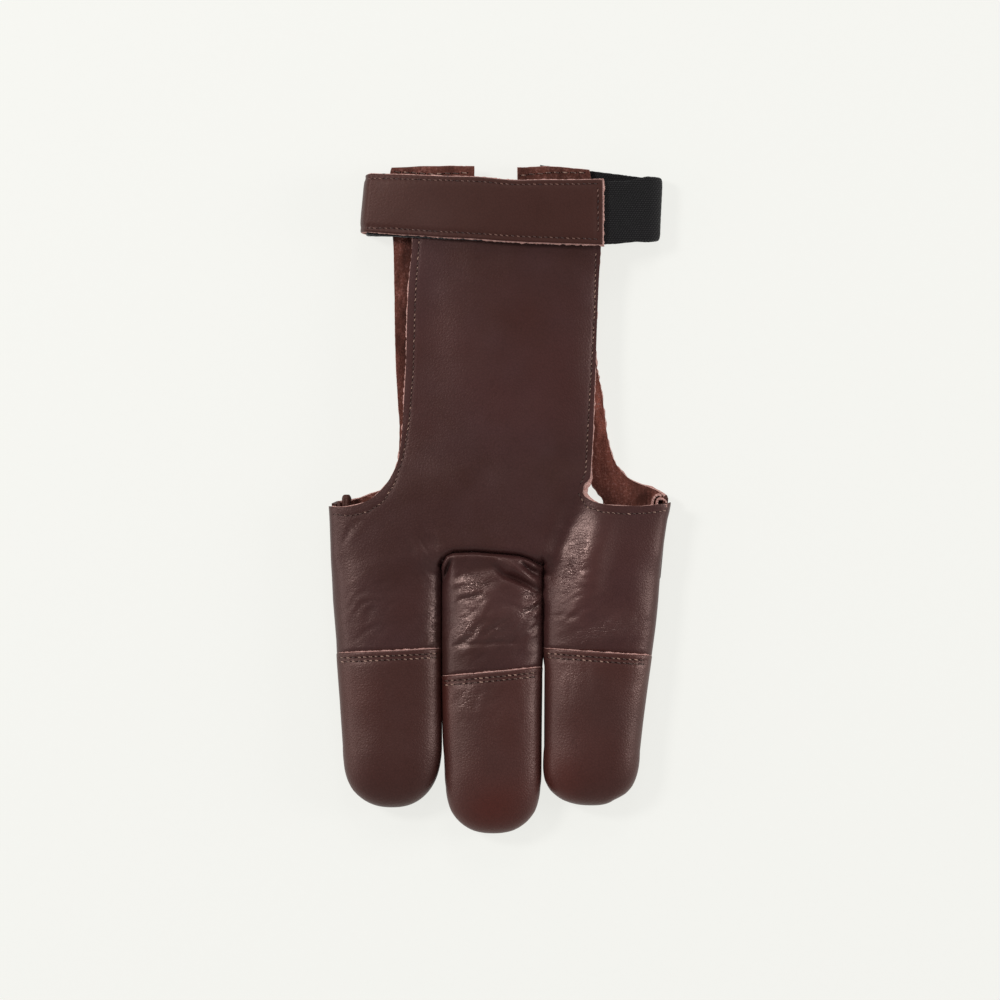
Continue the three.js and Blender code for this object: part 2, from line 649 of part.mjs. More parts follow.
function piece(name, geometry, material) {
  const mesh = new THREE.Mesh(geometry, material);
  mesh.name = name;
  return mesh;
}

const handPieces = new THREE.Group();
handPieces.add(
  piece("front_panel", frontPanel(), grainLeather),
  piece("middle_finger_front", middleFingerFront(), grainLeather),
  piece("rear_panel", rearPanel(), rearLeather),
  piece("left_seam_allowance", seamAllowance(allowances.left, -1), rearLeather),
  piece("right_seam_allowance", seamAllowance(allowances.right, 1), rearLeather),
);

const fingertipCaps = new THREE.Group();
for (const [name, finger] of Object.entries(fingers)) {
  fingertipCaps.add(piece(`${name}_fingertip_cap`, fingerCap(finger), capFinish));
}

const wristClosure = new THREE.Group();
wristClosure.add(
  piece("wrist_strap", band(strapPath, strapLeather, true), grainLeather),
  piece("strap_lining", strapLining(), blackTape),
  piece("loop_patch", loopPatch(), blackTape),
  piece("elastic_band", band(elasticPath, elasticThickness, false), wovenElastic),
);

const glove = new THREE.Group();
glove.add(handPieces, fingertipCaps, wristClosure);

export default glove;
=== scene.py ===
import math
import random

import bpy
import numpy as np
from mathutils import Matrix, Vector, noise
from mathutils.bvhtree import BVHTree


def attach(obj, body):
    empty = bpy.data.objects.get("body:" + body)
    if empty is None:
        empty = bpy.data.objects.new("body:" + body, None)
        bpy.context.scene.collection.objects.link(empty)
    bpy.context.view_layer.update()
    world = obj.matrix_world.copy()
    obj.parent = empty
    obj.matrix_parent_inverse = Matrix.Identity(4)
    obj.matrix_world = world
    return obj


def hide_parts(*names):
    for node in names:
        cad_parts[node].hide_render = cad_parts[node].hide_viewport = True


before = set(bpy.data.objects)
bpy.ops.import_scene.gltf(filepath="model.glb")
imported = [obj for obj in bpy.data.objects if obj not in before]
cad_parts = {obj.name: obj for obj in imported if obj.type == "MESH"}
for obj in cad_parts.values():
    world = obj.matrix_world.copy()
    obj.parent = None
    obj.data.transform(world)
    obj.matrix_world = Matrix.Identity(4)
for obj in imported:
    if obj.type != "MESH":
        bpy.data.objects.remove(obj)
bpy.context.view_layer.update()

random.seed(12)


# Lengths are in millimetres and are turned to metres when a mesh is made. across and along are shares
# of the glove's width and length, as in the part's source.
glove = {
    "length": 200,
    "width": 101,
    "leather": 1.3,
    "capLeather": 1.4,
    "seamHeight": 5.5,
    "fingerRise": 8,
    "knuckleRise": 8.4,
    "wristRise": 13.2,
    "wristDroop": 2.4,
    "mouth": 0.511,
    "crotch": 0.616,
    "rootSeam": 0.581,
    "frontValley": 0.578,
    "rearValley": 0.583,
    "handBlend": 0.08,
    "fingerRoundness": 2.4,
    "knuckleRoundness": 4,
    "fingerFlat": 0.72,
    "knuckleFlat": 0.9,
    "leftTabLift": 4.2,
    "rightTabLift": 1.5,
}

fingers = {
    "left": {
        "along": [0.505, 0.616, 0.726, 0.801, 0.868],
        "left": [-0.5, -0.492, -0.483, -0.475, -0.466],
        "right": [-0.1755, -0.1755, -0.1755, -0.1755, -0.1755],
        "tip": 0.961,
        "dome": 0.093,
        "roundness": 2.3,
        "capEdge": (0.728, 0.721),
        "bulge": {-1: ([0.51, 0.53, 0.56, 0.59, 0.65, 0.71, 0.74, 0.8, 0.89, 0.92, 0.935, 0.961],
                       [0.9, 0.8, 0.8, 0.85, 0.75, 0.25, 0.3, 0.05, 0.05, 0.4, 0.5, 0]),
                  1: ([0.6, 0.72, 0.74, 0.85, 0.875, 0.893, 0.92, 0.961],
                      [0.42, 0.42, 0.2, 0.35, 0.3, 0.2, 0.2, 0])},
    },
    "middle": {
        "along": [0.561, 0.762, 0.834, 0.906],
        "left": [-0.1725, -0.1725, -0.168, -0.163],
        "right": [0.1245, 0.1245, 0.123, 0.122],
        "tip": 1,
        "dome": 0.094,
        "roundness": 2.2,
        "capEdge": (0.763, 0.749),
        "bulge": {-1: ([0.6, 0.75, 0.78, 0.83, 0.865, 0.885, 0.93, 0.9515, 0.9665, 0.9815, 0.9965, 1],
                       [0.32, 0.32, 0.2, 0.35, 0.35, 0.15, 0.1, 0.55, 0.93, 0.93, 0.8, 0.3]),
                  1: ([0.6, 0.735, 0.76, 0.93, 0.9515, 0.9665, 0.9815, 0.9965, 1],
                      [0.4, 0.5, 0.12, 0.1, 0.55, 0.93, 0.93, 0.8, 0.3])},
    },
    "right": {
        "along": [0.498, 0.616, 0.681, 0.732, 0.784, 0.835, 0.876],
        "left": [0.1275, 0.1275, 0.13, 0.132, 0.132, 0.132, 0.132],
        "right": [0.5, 0.477, 0.465, 0.452, 0.438, 0.425, 0.416],
        "tip": 0.958,
        "dome": 0.086,
        "roundness": 2.5,
        "capEdge": (0.721, 0.732),
        "bulge": {-1: ([0.6, 0.62, 0.71, 0.73, 0.75, 0.87, 0.89, 0.92, 0.935, 0.95, 0.958],
                       [0.42, 0.42, 0.58, 0.52, 0, 0.1, 0.5, 1.3, 1.35, 0.9, 0.2]),
                  1: ([0.505, 0.515, 0.53, 0.56, 0.59, 0.65, 0.93, 0.94, 0.95, 0.958],
                      [0.9, 0.8, 0.3, 0, -0.2, 0, -0.1, -0.4, -1.5, -0.6])},
    },
}

# Columns: where a row crosses the middle, then its left and right ends.
panelRows = np.array([
    (0.024, -0.257, 0.024, 0.301, 0.024),
    (0.072, -0.257, 0.072, 0.301, 0.072),
    (0.12, -0.26, 0.12, 0.299, 0.12),
    (0.171, -0.269, 0.171, 0.293, 0.171),
    (0.231, -0.275, 0.231, 0.288, 0.231),
    (0.291, -0.278, 0.291, 0.284, 0.291),
    (0.351, -0.284, 0.351, 0.279, 0.351),
    (0.405, -0.29, 0.399, 0.275, 0.405),
    (0.444, -0.299, 0.435, 0.27, 0.444),
    (0.468, -0.316, 0.459, 0.266, 0.466),
    (0.486, -0.343, 0.48, 0.248, 0.478),
    (0.498, -0.382, 0.498, 0.245, 0.49),
    (0.509, -0.42, 0.507, 0.275, 0.502),
    (0.52, -0.462, 0.5105, 0.334, 0.508),
    (0.531, -0.486, 0.51, 0.417, 0.509),
    (0.538, -0.495, 0.5092, 0.466, 0.506),
    (0.545, -0.5, 0.5095, 0.498, 0.5035),
    (0.555, -0.5, 0.537, 0.496, 0.528),
    (0.567, -0.498, 0.561, 0.489, 0.556),
    (0.581, -0.495, 0.581, 0.484, 0.581),
])
# The first row whose ends lie on the side seams.
panelSeamRow = 16

# Columns: level of the palm's edge, its left and right edges, then the row's left and right ends.
rearRows = np.array([
    (0, -0.076, 0.052, -0.322, 0.0025, 0.2655, 0.004),
    (0.012, -0.076, 0.052, -0.3275, 0.013, 0.2695, 0.013),
    (0.036, -0.076, 0.052, -0.328, 0.036, 0.272, 0.036),
    (0.072, -0.076, 0.055, -0.325, 0.072, 0.275, 0.072),
    (0.125, -0.076, 0.061, -0.316, 0.125, 0.275, 0.125),
    (0.201, -0.082, 0.088, -0.3135, 0.201, 0.279, 0.201),
    (0.285, -0.105, 0.129, -0.311, 0.279, 0.284, 0.282),
    (0.354, -0.138, 0.177, -0.305, 0.345, 0.305, 0.345),
    (0.408, -0.165, 0.224, -0.299, 0.393, 0.317, 0.396),
    (0.444, -0.189, 0.247, -0.301, 0.435, 0.331, 0.429),
    (0.474, -0.209, 0.2715, -0.306, 0.458, 0.358, 0.455),
    (0.501, -0.233, 0.307, -0.335, 0.48, 0.397, 0.472),
    (0.521, -0.242, 0.316, -0.385, 0.491, 0.452, 0.482),
    (0.537, -0.233, 0.304, -0.435, 0.4995, 0.486, 0.489),
    (0.552, -0.209, 0.248, -0.5, 0.505, 0.5, 0.498),
    (0.561, -0.19, 0.165, -0.5, 0.531, 0.498, 0.528),
    (0.567, -0.1755, 0.1275, -0.498, 0.553, 0.492, 0.553),
    (0.585, -0.1755, 0.1275, -0.495, 0.583, 0.484, 0.583),
    (0.601, -0.1755, 0.1275, -0.493, 0.6, 0.48, 0.6),
    (0.616, -0.1755, 0.1275, -0.492, 0.616, 0.477, 0.616),
])
# The first row whose ends lie on the side seams, and the row where the palm's opening ends.
rearSeamRow = 14
palmEndRow = 16

wrist = {
    "crest": ([0, 0.25, 0.42, 0.511], [1, 0.97, 1, 1.05]),
    "droop": ([0, 0.25, 0.42, 0.511], [1, 1.1, 0.7, 0.2]),
    "middle": 0.01,
    "half": 0.285,
}


def placeX(across):
    return across * glove["width"]


def placeY(along):
    return glove["length"] * (0.5 - along)


def smoothStep(value, start, end):
    t = np.clip((value - start) / (end - start), 0, 1)
    return t * t * (3 - 2 * t)


def blend(first, second, share):
    return first + (second - first) * share


# A smooth curve through a table's column, which never swings past its values.
def curveThrough(stops, values):
    stops, values = np.array(stops, float), np.array(values, float)
    steps = np.diff(values) / np.diff(stops)
    before, after = np.append(steps[:1], steps), np.append(steps, steps[-1:])
    turns = before * after <= 0
    slopes = np.where(turns, 0, 2 * before * after / np.where(turns, 1, before + after))

    def valueAt(place):
        place = np.clip(place, stops[0], stops[-1])
        i = np.clip(np.searchsorted(stops, place, "right") - 1, 0, len(stops) - 2)
        gap = stops[i + 1] - stops[i]
        t = (place - stops[i]) / gap
        first = (2 * t**3 - 3 * t**2 + 1) * values[i] + (t**3 - 2 * t**2 + t) * gap * slopes[i]
        second = (3 * t**2 - 2 * t**3) * values[i + 1] + (t**3 - t**2) * gap * slopes[i + 1]
        return first + second

    return valueAt


def arch(t, power):
    return np.maximum(0, 1 - np.abs(t) ** power) ** (1 / power)


def flatArch(t, flat):
    past = np.maximum(0, np.abs(t) - flat) / (1 - flat)
    return np.sqrt(np.maximum(0, 1 - past * past))


for finger in fingers.values():
    finger["leftEdge"] = curveThrough(finger["along"], finger["left"])
    finger["rightEdge"] = curveThrough(finger["along"], finger["right"])


# Centre and half width of a finger at a level, and how much of its full width its rounded tip keeps.
def fingerSection(finger, along):
    left, right = placeX(finger["leftEdge"](along)), placeX(finger["rightEdge"](along))
    past = np.clip((along - finger["tip"] + finger["dome"]) / finger["dome"], 0, 1)
    shrink = arch(past, finger["roundness"])
    return (left + right) / 2, (right - left) / 2 * shrink, shrink


webs = (placeX(-0.174), placeX(0.126))


def eachFinger(x, values):
    return np.where(x < webs[0], values[0], np.where(x < webs[1], values[1], values[2]))


def knuckleShare(x, along):
    left = placeX(fingers["left"]["leftEdge"](along))
    right = placeX(fingers["right"]["rightEdge"](along))
    return np.clip((2 * x - left - right) / (right - left), -1, 1)


frontSeam = glove["seamHeight"] + 0.03
rearSeam = glove["seamHeight"] - 0.03

# Folds and creases of the front: points in mm, half width, height (a trough is below 0).
folds = [
    # right finger's root: a broad ridge from the notch, with a trough on its left
    ([(31.95, -3.3), (30.15, -10.8), (27.75, -18.3), (25.35, -27.3), (24.15, -36.3)], 5.0, 2.2),
    ([(24.15, 0.6), (21.45, -6.3), (18.15, -13.8), (15.75, -20.7), (14.25, -25.8)], 4.0, -2.1),
    ([(29.55, -39.3), (35.55, -36.9), (39.75, -33.9)], 4.0, 0.6),
    ([(22.35, -45.9), (30.15, -47.1), (36.75, -44.7)], 4.0, -0.5),
    ([(39.15, -6.3), (39.75, -21.3), (38.55, -33.3)], 5.0, 0.5),
    ([(13.65, -34.5), (16.95, -34.8), (20.25, -33.9)], 0.55, -0.4),
    ([(14.55, -29.7), (18.15, -27.9)], 0.6, -0.28),
    ([(18.15, -36.3), (22.65, -32.1), (27.75, -30.3)], 0.6, 0.2),
    # left finger's root
    ([(-41.55, -6), (-43.05, -7.5), (-44.85, -9.3), (-46.35, -12.6)], 0.42, -0.4),
    ([(-40.35, -6.6), (-42.45, -9), (-44.25, -11.4)], 0.9, 0.12),
    ([(-44.25, -18.3), (-44.85, -30.3), (-44.25, -42.3)], 4.5, 0.4),
    ([(-28.35, -18.3), (-26.25, -30.3), (-26.85, -42.3)], 6, -0.5),
    ([(-18.75, -18.9), (-20.85, -16.5), (-22.65, -13.8), (-24.75, -9.9)], 0.7, -0.34),
    ([(-18.75, -20.7), (-21.45, -18.3), (-23.55, -15.9)], 0.7, -0.26),
    ([(-22.65, -10.2), (-20.25, -14.1), (-18.15, -18.3)], 2.2, -0.8),
    ([(-19.05, -22.8), (-21.15, -21.3), (-22.95, -19.2)], 0.6, -0.22),
    ([(-17.55, -32.1), (-20.25, -32.7)], 0.7, -0.22),
    ([(-17.55, -34.5), (-20.85, -35.7)], 0.6, -0.28),
    ([(-17.55, -36.9), (-21.45, -38.1)], 0.7, -0.28),
    ([(-17.55, -39.6), (-21.15, -41.1)], 0.6, -0.26),
    ([(-17.55, -42.3), (-21.15, -44.1)], 0.7, -0.28),
    ([(-32.85, -36.3), (-35.85, -40.5)], 0.5, -0.14),
    ([(-38.25, -32.1), (-40.65, -38.1)], 0.5, -0.14),
    # hand panel
    ([(-25.35, 59.7), (-8.85, 50.7), (9.15, 53.7)], 22, 0.25),
    ([(12.45, -6.3), (12.45, -13.8)], 2.2, -0.25),
    ([(-30.2, 76), (-31.2, 50), (-31.8, 26)], 7, 1.7),
    ([(31.5, 72), (30.8, 44), (29, 16)], 6, -1.5),
    ([(0.15, 8.7), (-8.85, -0.3), (-14.85, -12.3)], 9, -0.3),
]
# The middle finger gathers more, because it is eased into its seam.
middleFolds = [
    # left tuck
    ([(-14.25, -18), (-15.45, -20.1), (-16.05, -22.5), (-16.95, -24.9)], 0.6, -2.0),
    ([(-16.65, -17.7), (-16.95, -20.4), (-16.65, -23.1)], 1.1, 1.6),
    ([(-12.75, -20.1), (-13.95, -23.1), (-14.85, -27.3)], 1.6, 0.5),
    # the fold that runs into the right corner, and the crease below it
    ([(1.05, -18.3), (4.35, -20.1), (7.35, -22.2), (10.95, -24.9)], 1.5, 2.1),
    ([(-1.05, -20.1), (1.35, -22.5), (4.35, -23.4), (7.65, -24.9), (11.55, -27.6)], 0.9, -2.3),
    ([(6.45, -18.6), (8.25, -20.4), (10.05, -22.2)], 0.6, -1.5),
    ([(7.95, -18.3), (9.75, -19.5), (11.55, -20.7)], 0.8, 1.0),
    ([(9.15, -20.7), (11.25, -22.2)], 0.5, -0.9),
    # slack below
    ([(-11.85, -29.7), (-8.85, -29.1), (-5.25, -28.2)], 0.6, -0.9),
    ([(-11.25, -27.9), (-8.25, -27.3), (-4.65, -26.1)], 0.7, 0.6),
    ([(-6.45, -26.7), (-2.85, -24.9), (0.15, -23.4)], 0.5, -0.4),
    ([(-8.85, -31.5), (-4.65, -29.7)], 0.5, -0.4),
    ([(-13.95, -43.5), (-10.95, -42.6), (-7.95, -40.5), (-6.75, -36.9)], 0.6, -0.55),
    ([(-13.35, -41.1), (-10.65, -39.9), (-8.85, -36.9)], 0.7, 0.5),
    ([(-13.95, -43.8), (-8.25, -42.9), (0.15, -42.6), (4.65, -42.6), (7.65, -40.5)], 0.6, -0.5),
    ([(-6.15, -42.3), (-3.45, -39.3), (-0.75, -37.2), (3.15, -35.1)], 0.5, -0.45),
    ([(-3.75, -42.6), (-0.75, -39.9), (2.25, -37.5)], 0.5, -0.35),
    ([(-1.35, -27.3), (2.55, -29.1), (6.15, -28.5)], 4.0, -0.5),
    ([(1.35, -31.2), (4.35, -31.5), (6.75, -32.7)], 0.6, -0.35),
    ([(5.85, -27.9), (7.95, -26.7), (10.05, -27.3)], 0.8, 0.5),
    ([(7.35, -33.9), (9.75, -32.7), (11.85, -30.6)], 0.6, -0.9),
    ([(7.05, -32.1), (9.45, -30.9), (11.55, -29.4)], 0.9, 0.8),
    ([(7.65, -36), (10.05, -33.9), (12.15, -32.1)], 0.8, 0.5),
    ([(8.55, -39.3), (10.65, -36.9), (12.45, -34.5)], 0.6, -0.35),
]


# Height that a list of folds adds at each place.
def foldHeight(x, y, chosen, endShare=0.35):
    total = np.zeros_like(x)
    for points, halfWidth, height in chosen:
        nearest = np.full_like(x, 1e9)
        where = np.zeros_like(x)
        lengths = [math.dist(a, b) for a, b in zip(points, points[1:])]
        walked = 0
        for (x0, y0), (x1, y1), length in zip(points, points[1:], lengths):
            share = np.clip(((x - x0) * (x1 - x0) + (y - y0) * (y1 - y0)) / length**2, 0, 1)
            away = np.hypot(x - x0 - share * (x1 - x0), y - y0 - share * (y1 - y0))
            where = np.where(away < nearest, (walked + share * length) / sum(lengths), where)
            nearest = np.minimum(nearest, away)
            walked += length
        taper = endShare + (1 - endShare) * np.sin(math.pi * np.clip(where, 0, 1))
        total += height * taper * np.exp(-((nearest / halfWidth) ** 2))
    return total


# Fine wrinkles of pulled leather: ridged noise, longer along its direction. Fields: middle, radii,
# direction in degrees, spacing, height.
frontWrinkles = [
    ((22.95, -19.1), (6.5, 15), 28, 1.9, 0.3),
    ((24.15, -31.8), (11, 9), 24, 2.4, 0.3),
    ((33.75, -38.7), (12, 8), 40, 2.2, 0.2),
    ((-38.25, -33.9), (11, 14), 35, 2.4, 0.15),
    ((-21.45, -15.9), (8, 9), 128, 1.9, 0.16),
    ((-20.85, -37.8), (5, 12), 20, 2.2, 0.22),
]
middleWrinkles = [
    ((-7.05, -26.7), (9, 9), 32, 2.2, 0.34),
    ((-8.85, -38.7), (9, 8), 38, 2.0, 0.32),
    ((4.65, -38.7), (10, 10), 40, 2.2, 0.24),
    ((10.05, -32.1), (4, 10), 15, 2.2, 0.3),
]
capWrinkles = [
    ((-8.25, -60.3), (9, 6), 55, 2.0, 0.2),
    ((1.65, -61.8), (11, 12), 75, 2.6, 0.1),
    ((23.55, -54.3), (9, 8), 85, 2.4, 0.1),
    ((42.15, -51.9), (4, 8), 60, 2.0, 0.12),
]


# Broad swells and hollows of the middle finger: middle, radii, turn in degrees, height.
middleSwells = [
    ((-0.45, -32.1), (10.2, 7.8), 0, 1.5),
    ((-2.25, -20.1), (10.2, 2.7), 0, -0.7),
    ((-8.85, -39.9), (4.2, 5.4), 0, 0.5),
    ((-16.35, -33.3), (2.4, 12), 0, -0.6),
    ((6.15, -42.3), (4.2, 4.8), 0, -0.4),
]
# Where the leather is crumpled too finely for its mesh: middle, radii, turn in degrees, amount.
crumpleFields = [
    ((22.05, -19.1), (3.9, 12.6), -22, 0.82),
    ((30.15, -39.3), (9.6, 3.6), 20, 0.7),
    ((-6.75, -25.5), (5.4, 4.2), 25, 0.9),
    ((-10.35, -38.7), (3.9, 5.1), -25, 0.78),
    ((0.15, -38.7), (6, 4.8), 35, 0.5),
    ((8.85, -32.1), (3.6, 3.6), 0, 1),
    ((8.55, -27.3), (3.6, 2.4), 0, 0.6),
    ((-21.45, -15.9), (3.6, 6), 30, 0.35),
    ((-37.65, -33.9), (6.6, 7.8), 0, 0.22),
    ((-19.95, -36.3), (2.1, 7.8), 0, 0.5),
    ((-8.85, -58.8), (6.6, 3.9), 20, 0.6),
    ((23.55, -51.9), (4.8, 4.2), 0, 0.5),
    ((-38.25, -49.5), (4.8, 2.7), 0, 0.15),
    ((1.65, -63.3), (9, 7.5), 0, 0.14),
    ((42.15, -51.3), (3, 7.8), 0, 0.4),
    ((-5.85, -70.8), (7.8, 7.8), 0, 0.12),
]


# Places seen from a point, along and across a direction.
def turnedFrom(x, y, cx, cy, degrees):
    turn = math.radians(degrees)
    u = (x - cx) * math.cos(turn) + (y - cy) * math.sin(turn)
    return u, (y - cy) * math.cos(turn) - (x - cx) * math.sin(turn)


# Sum of soft-edged patches at each place.
def patchSum(x, y, fields):
    total = np.zeros_like(x)
    for (cx, cy), (rx, ry), degrees, amount in fields:
        u, v = turnedFrom(x, y, cx, cy, degrees)
        total += amount * np.exp(-((u / rx) ** 2) - (v / ry) ** 2)
    return total


def crumpleAt(x, y):
    return np.minimum(0.04 + patchSum(x, y, crumpleFields), 1)


def wrinkleHeight(x, y, fields):
    total = np.zeros_like(x)
    for (cx, cy), (rx, ry), direction, spacing, height in fields:
        mask = np.exp(-(((x - cx) / rx) ** 2) - ((y - cy) / ry) ** 2)
        u, v = turnedFrom(x, y, cx, cy, direction)
        for i in np.argwhere(mask > 0.04):
            i = tuple(i)
            wander = 0.8 * noise.noise(Vector((u[i] / 7, v[i] / 5, cx)))
            value = noise.noise(Vector((u[i] / (spacing * 3.2), v[i] / spacing + wander, cy)))
            fine = noise.noise(Vector((u[i] / (spacing * 1.7), v[i] * 2.1 / spacing, cx + 9)))
            total[i] += mask[i] * height * (0.6 - 2.2 * abs(value) + 0.5 * fine)
    return total


# Slow unevenness of a hand-cut, used leather surface.
def unevenness(x, y, size, seed):
    flat = [noise.noise(Vector((a / size, b / size, seed))) for a, b in zip(x.ravel(), y.ravel())]
    return np.array(flat).reshape(x.shape)


crestAt = curveThrough(*wrist["crest"])
droopAt = curveThrough(*wrist["droop"])


def wristHeight(x):
    off = (x - placeX(wrist["middle"])) / placeX(wrist["half"])
    return glove["wristRise"] - glove["wristDroop"] * off * off


# Height of the front's grain face above the crotch.
def frontHeight(x, along):
    knuckles = frontSeam + glove["knuckleRise"] * arch(knuckleShare(x, along), glove["knuckleRoundness"])
    arches = []
    for finger in fingers.values():
        centre, half, shrink = fingerSection(finger, along)
        arches.append(arch(np.clip((x - centre) / half, -1, 1), glove["fingerRoundness"]))
    own = frontSeam + glove["fingerRise"] * eachFinger(x, arches)
    body = blend(knuckles, own, smoothStep(along, glove["frontValley"], glove["crotch"]))
    off = (x - placeX(wrist["middle"])) / placeX(wrist["half"])
    hand = glove["wristRise"] * crestAt(along) - glove["wristDroop"] * droopAt(along) * off * off
    return blend(body, hand, smoothStep(-along, -glove["mouth"], glove["handBlend"] - glove["mouth"]))


# Height of the rear's grain face, which faces down.
def rearHeight(x, along):
    knuckles = flatArch(knuckleShare(x, along), glove["knuckleFlat"])
    arches = []
    for finger in fingers.values():
        centre, half, shrink = fingerSection(finger, along)
        arches.append(flatArch(np.clip((x - centre) / half, -1, 1), glove["fingerFlat"]))
    own = eachFinger(x, arches)
    low = blend(knuckles, own, smoothStep(along, glove["rearValley"], glove["crotch"]))
    lift = np.where(x < 0, glove["leftTabLift"], glove["rightTabLift"])
    return rearSeam * (1 - low) + lift * smoothStep(-along, -0.34, -0.13)


# Colours are sRGB hex values, turned to the linear values that shaders take.
def linearColour(hexValue):
    parts = [int(hexValue[i:i + 2], 16) / 255 for i in (1, 3, 5)]
    return tuple(c / 12.92 if c <= 0.04045 else ((c + 0.055) / 1.055) ** 2.4 for c in parts) + (1,)


# Adds a shader node with its settings. An input is a value, a hex colour, a socket or a node, which
# feeds it with its first output. A Mix node's inputs 0, 6 and 7 are its share and its two colours.
def addNode(tree, kind, inputs=None, **settings):
    node = tree.nodes.new("ShaderNode" + kind)
    for name, value in settings.items():
        setattr(node, name, value)
    for name, value in (inputs or {}).items():
        if isinstance(value, bpy.types.Node):
            value = value.outputs[2 if value.bl_idname == "ShaderNodeMix" else 0]
        if isinstance(value, bpy.types.NodeSocket):
            tree.links.new(value, node.inputs[name])
        else:
            node.inputs[name].default_value = linearColour(value) if isinstance(value, str) else value
    return node


def newMaterial(name):
    material = bpy.data.materials.new(name)
    material.use_nodes = True
    tree = material.node_tree
    tree.nodes.clear()
    return material, tree, addNode(tree, "TexCoord").outputs["Object"]


# height is in mm after it is multiplied by bumpSize.
def finishMaterial(tree, colour, roughness, height, bumpSize, shaderValues):
    bump = addNode(tree, "Bump", {"Height": height, "Distance": bumpSize * 0.001, "Strength": 1})
    inputs = {"Base Color": colour, "Roughness": roughness, "Normal": bump, **shaderValues}
    addNode(tree, "OutputMaterial", {"Surface": addNode(tree, "BsdfPrincipled", inputs)})


# Texture scale for a pattern of this size in mm.
def perSize(size):
    return 1000 / size


# The same for a wave texture, whose bands are 0.314 apart at scale 1.
def perBand(size):
    return 314 / size


# Each leather's colours, least and most roughness, height of grain in mm, strength of creases, gloss.
leatherLook = {
    "front": {"base": "#3b221f", "light": "#422a2a", "red": "#472421", "rough": (0.35, 0.46),
              "grain": 0.019, "crumple": 0.85, "gloss": 0.44},
    "cap": {"base": "#40231f", "light": "#472c29", "red": "#50251f", "rough": (0.37, 0.49),
            "grain": 0.023, "crumple": 0.55, "gloss": 0.46},
    "strap": {"base": "#3c211c", "light": "#3f2420", "red": "#42221d", "rough": (0.44, 0.58),
              "grain": 0.014, "crumple": 0.8, "gloss": 0.36},
    "rear": {"base": "#3b1f19", "light": "#452620", "red": "#48241d", "rough": (0.46, 0.6),
             "grain": 0.03, "crumple": 1, "gloss": 0.36},
}
# Sizes of the grain's patterns in mm, its other colours, and what crumpling adds to gloss and roughness.
grainLook = {
    "patches": 26,
    "redPatches": 38,
    "cells": 0.95,
    "fineCells": 0.55,
    "pores": 0.35,
    # Colour of the painted highlight on the ridges of folds and wrinkles.
    "ridgeHighlightColour": "#684440",
    "tint": "#ffdad0",
    "crumpleGloss": 0.75,
    "crumpleRoughness": -0.1,
    # Direction in degrees, size in mm, squeeze across, width of the valley, depth in mm.
    "creases": [(-36, 5.5, 3.4, 0.055, 0.2), (-22, 2.8, 2.6, 0.08, 0.1), (20, 3.6, 2, 0.05, 0.06)],
}
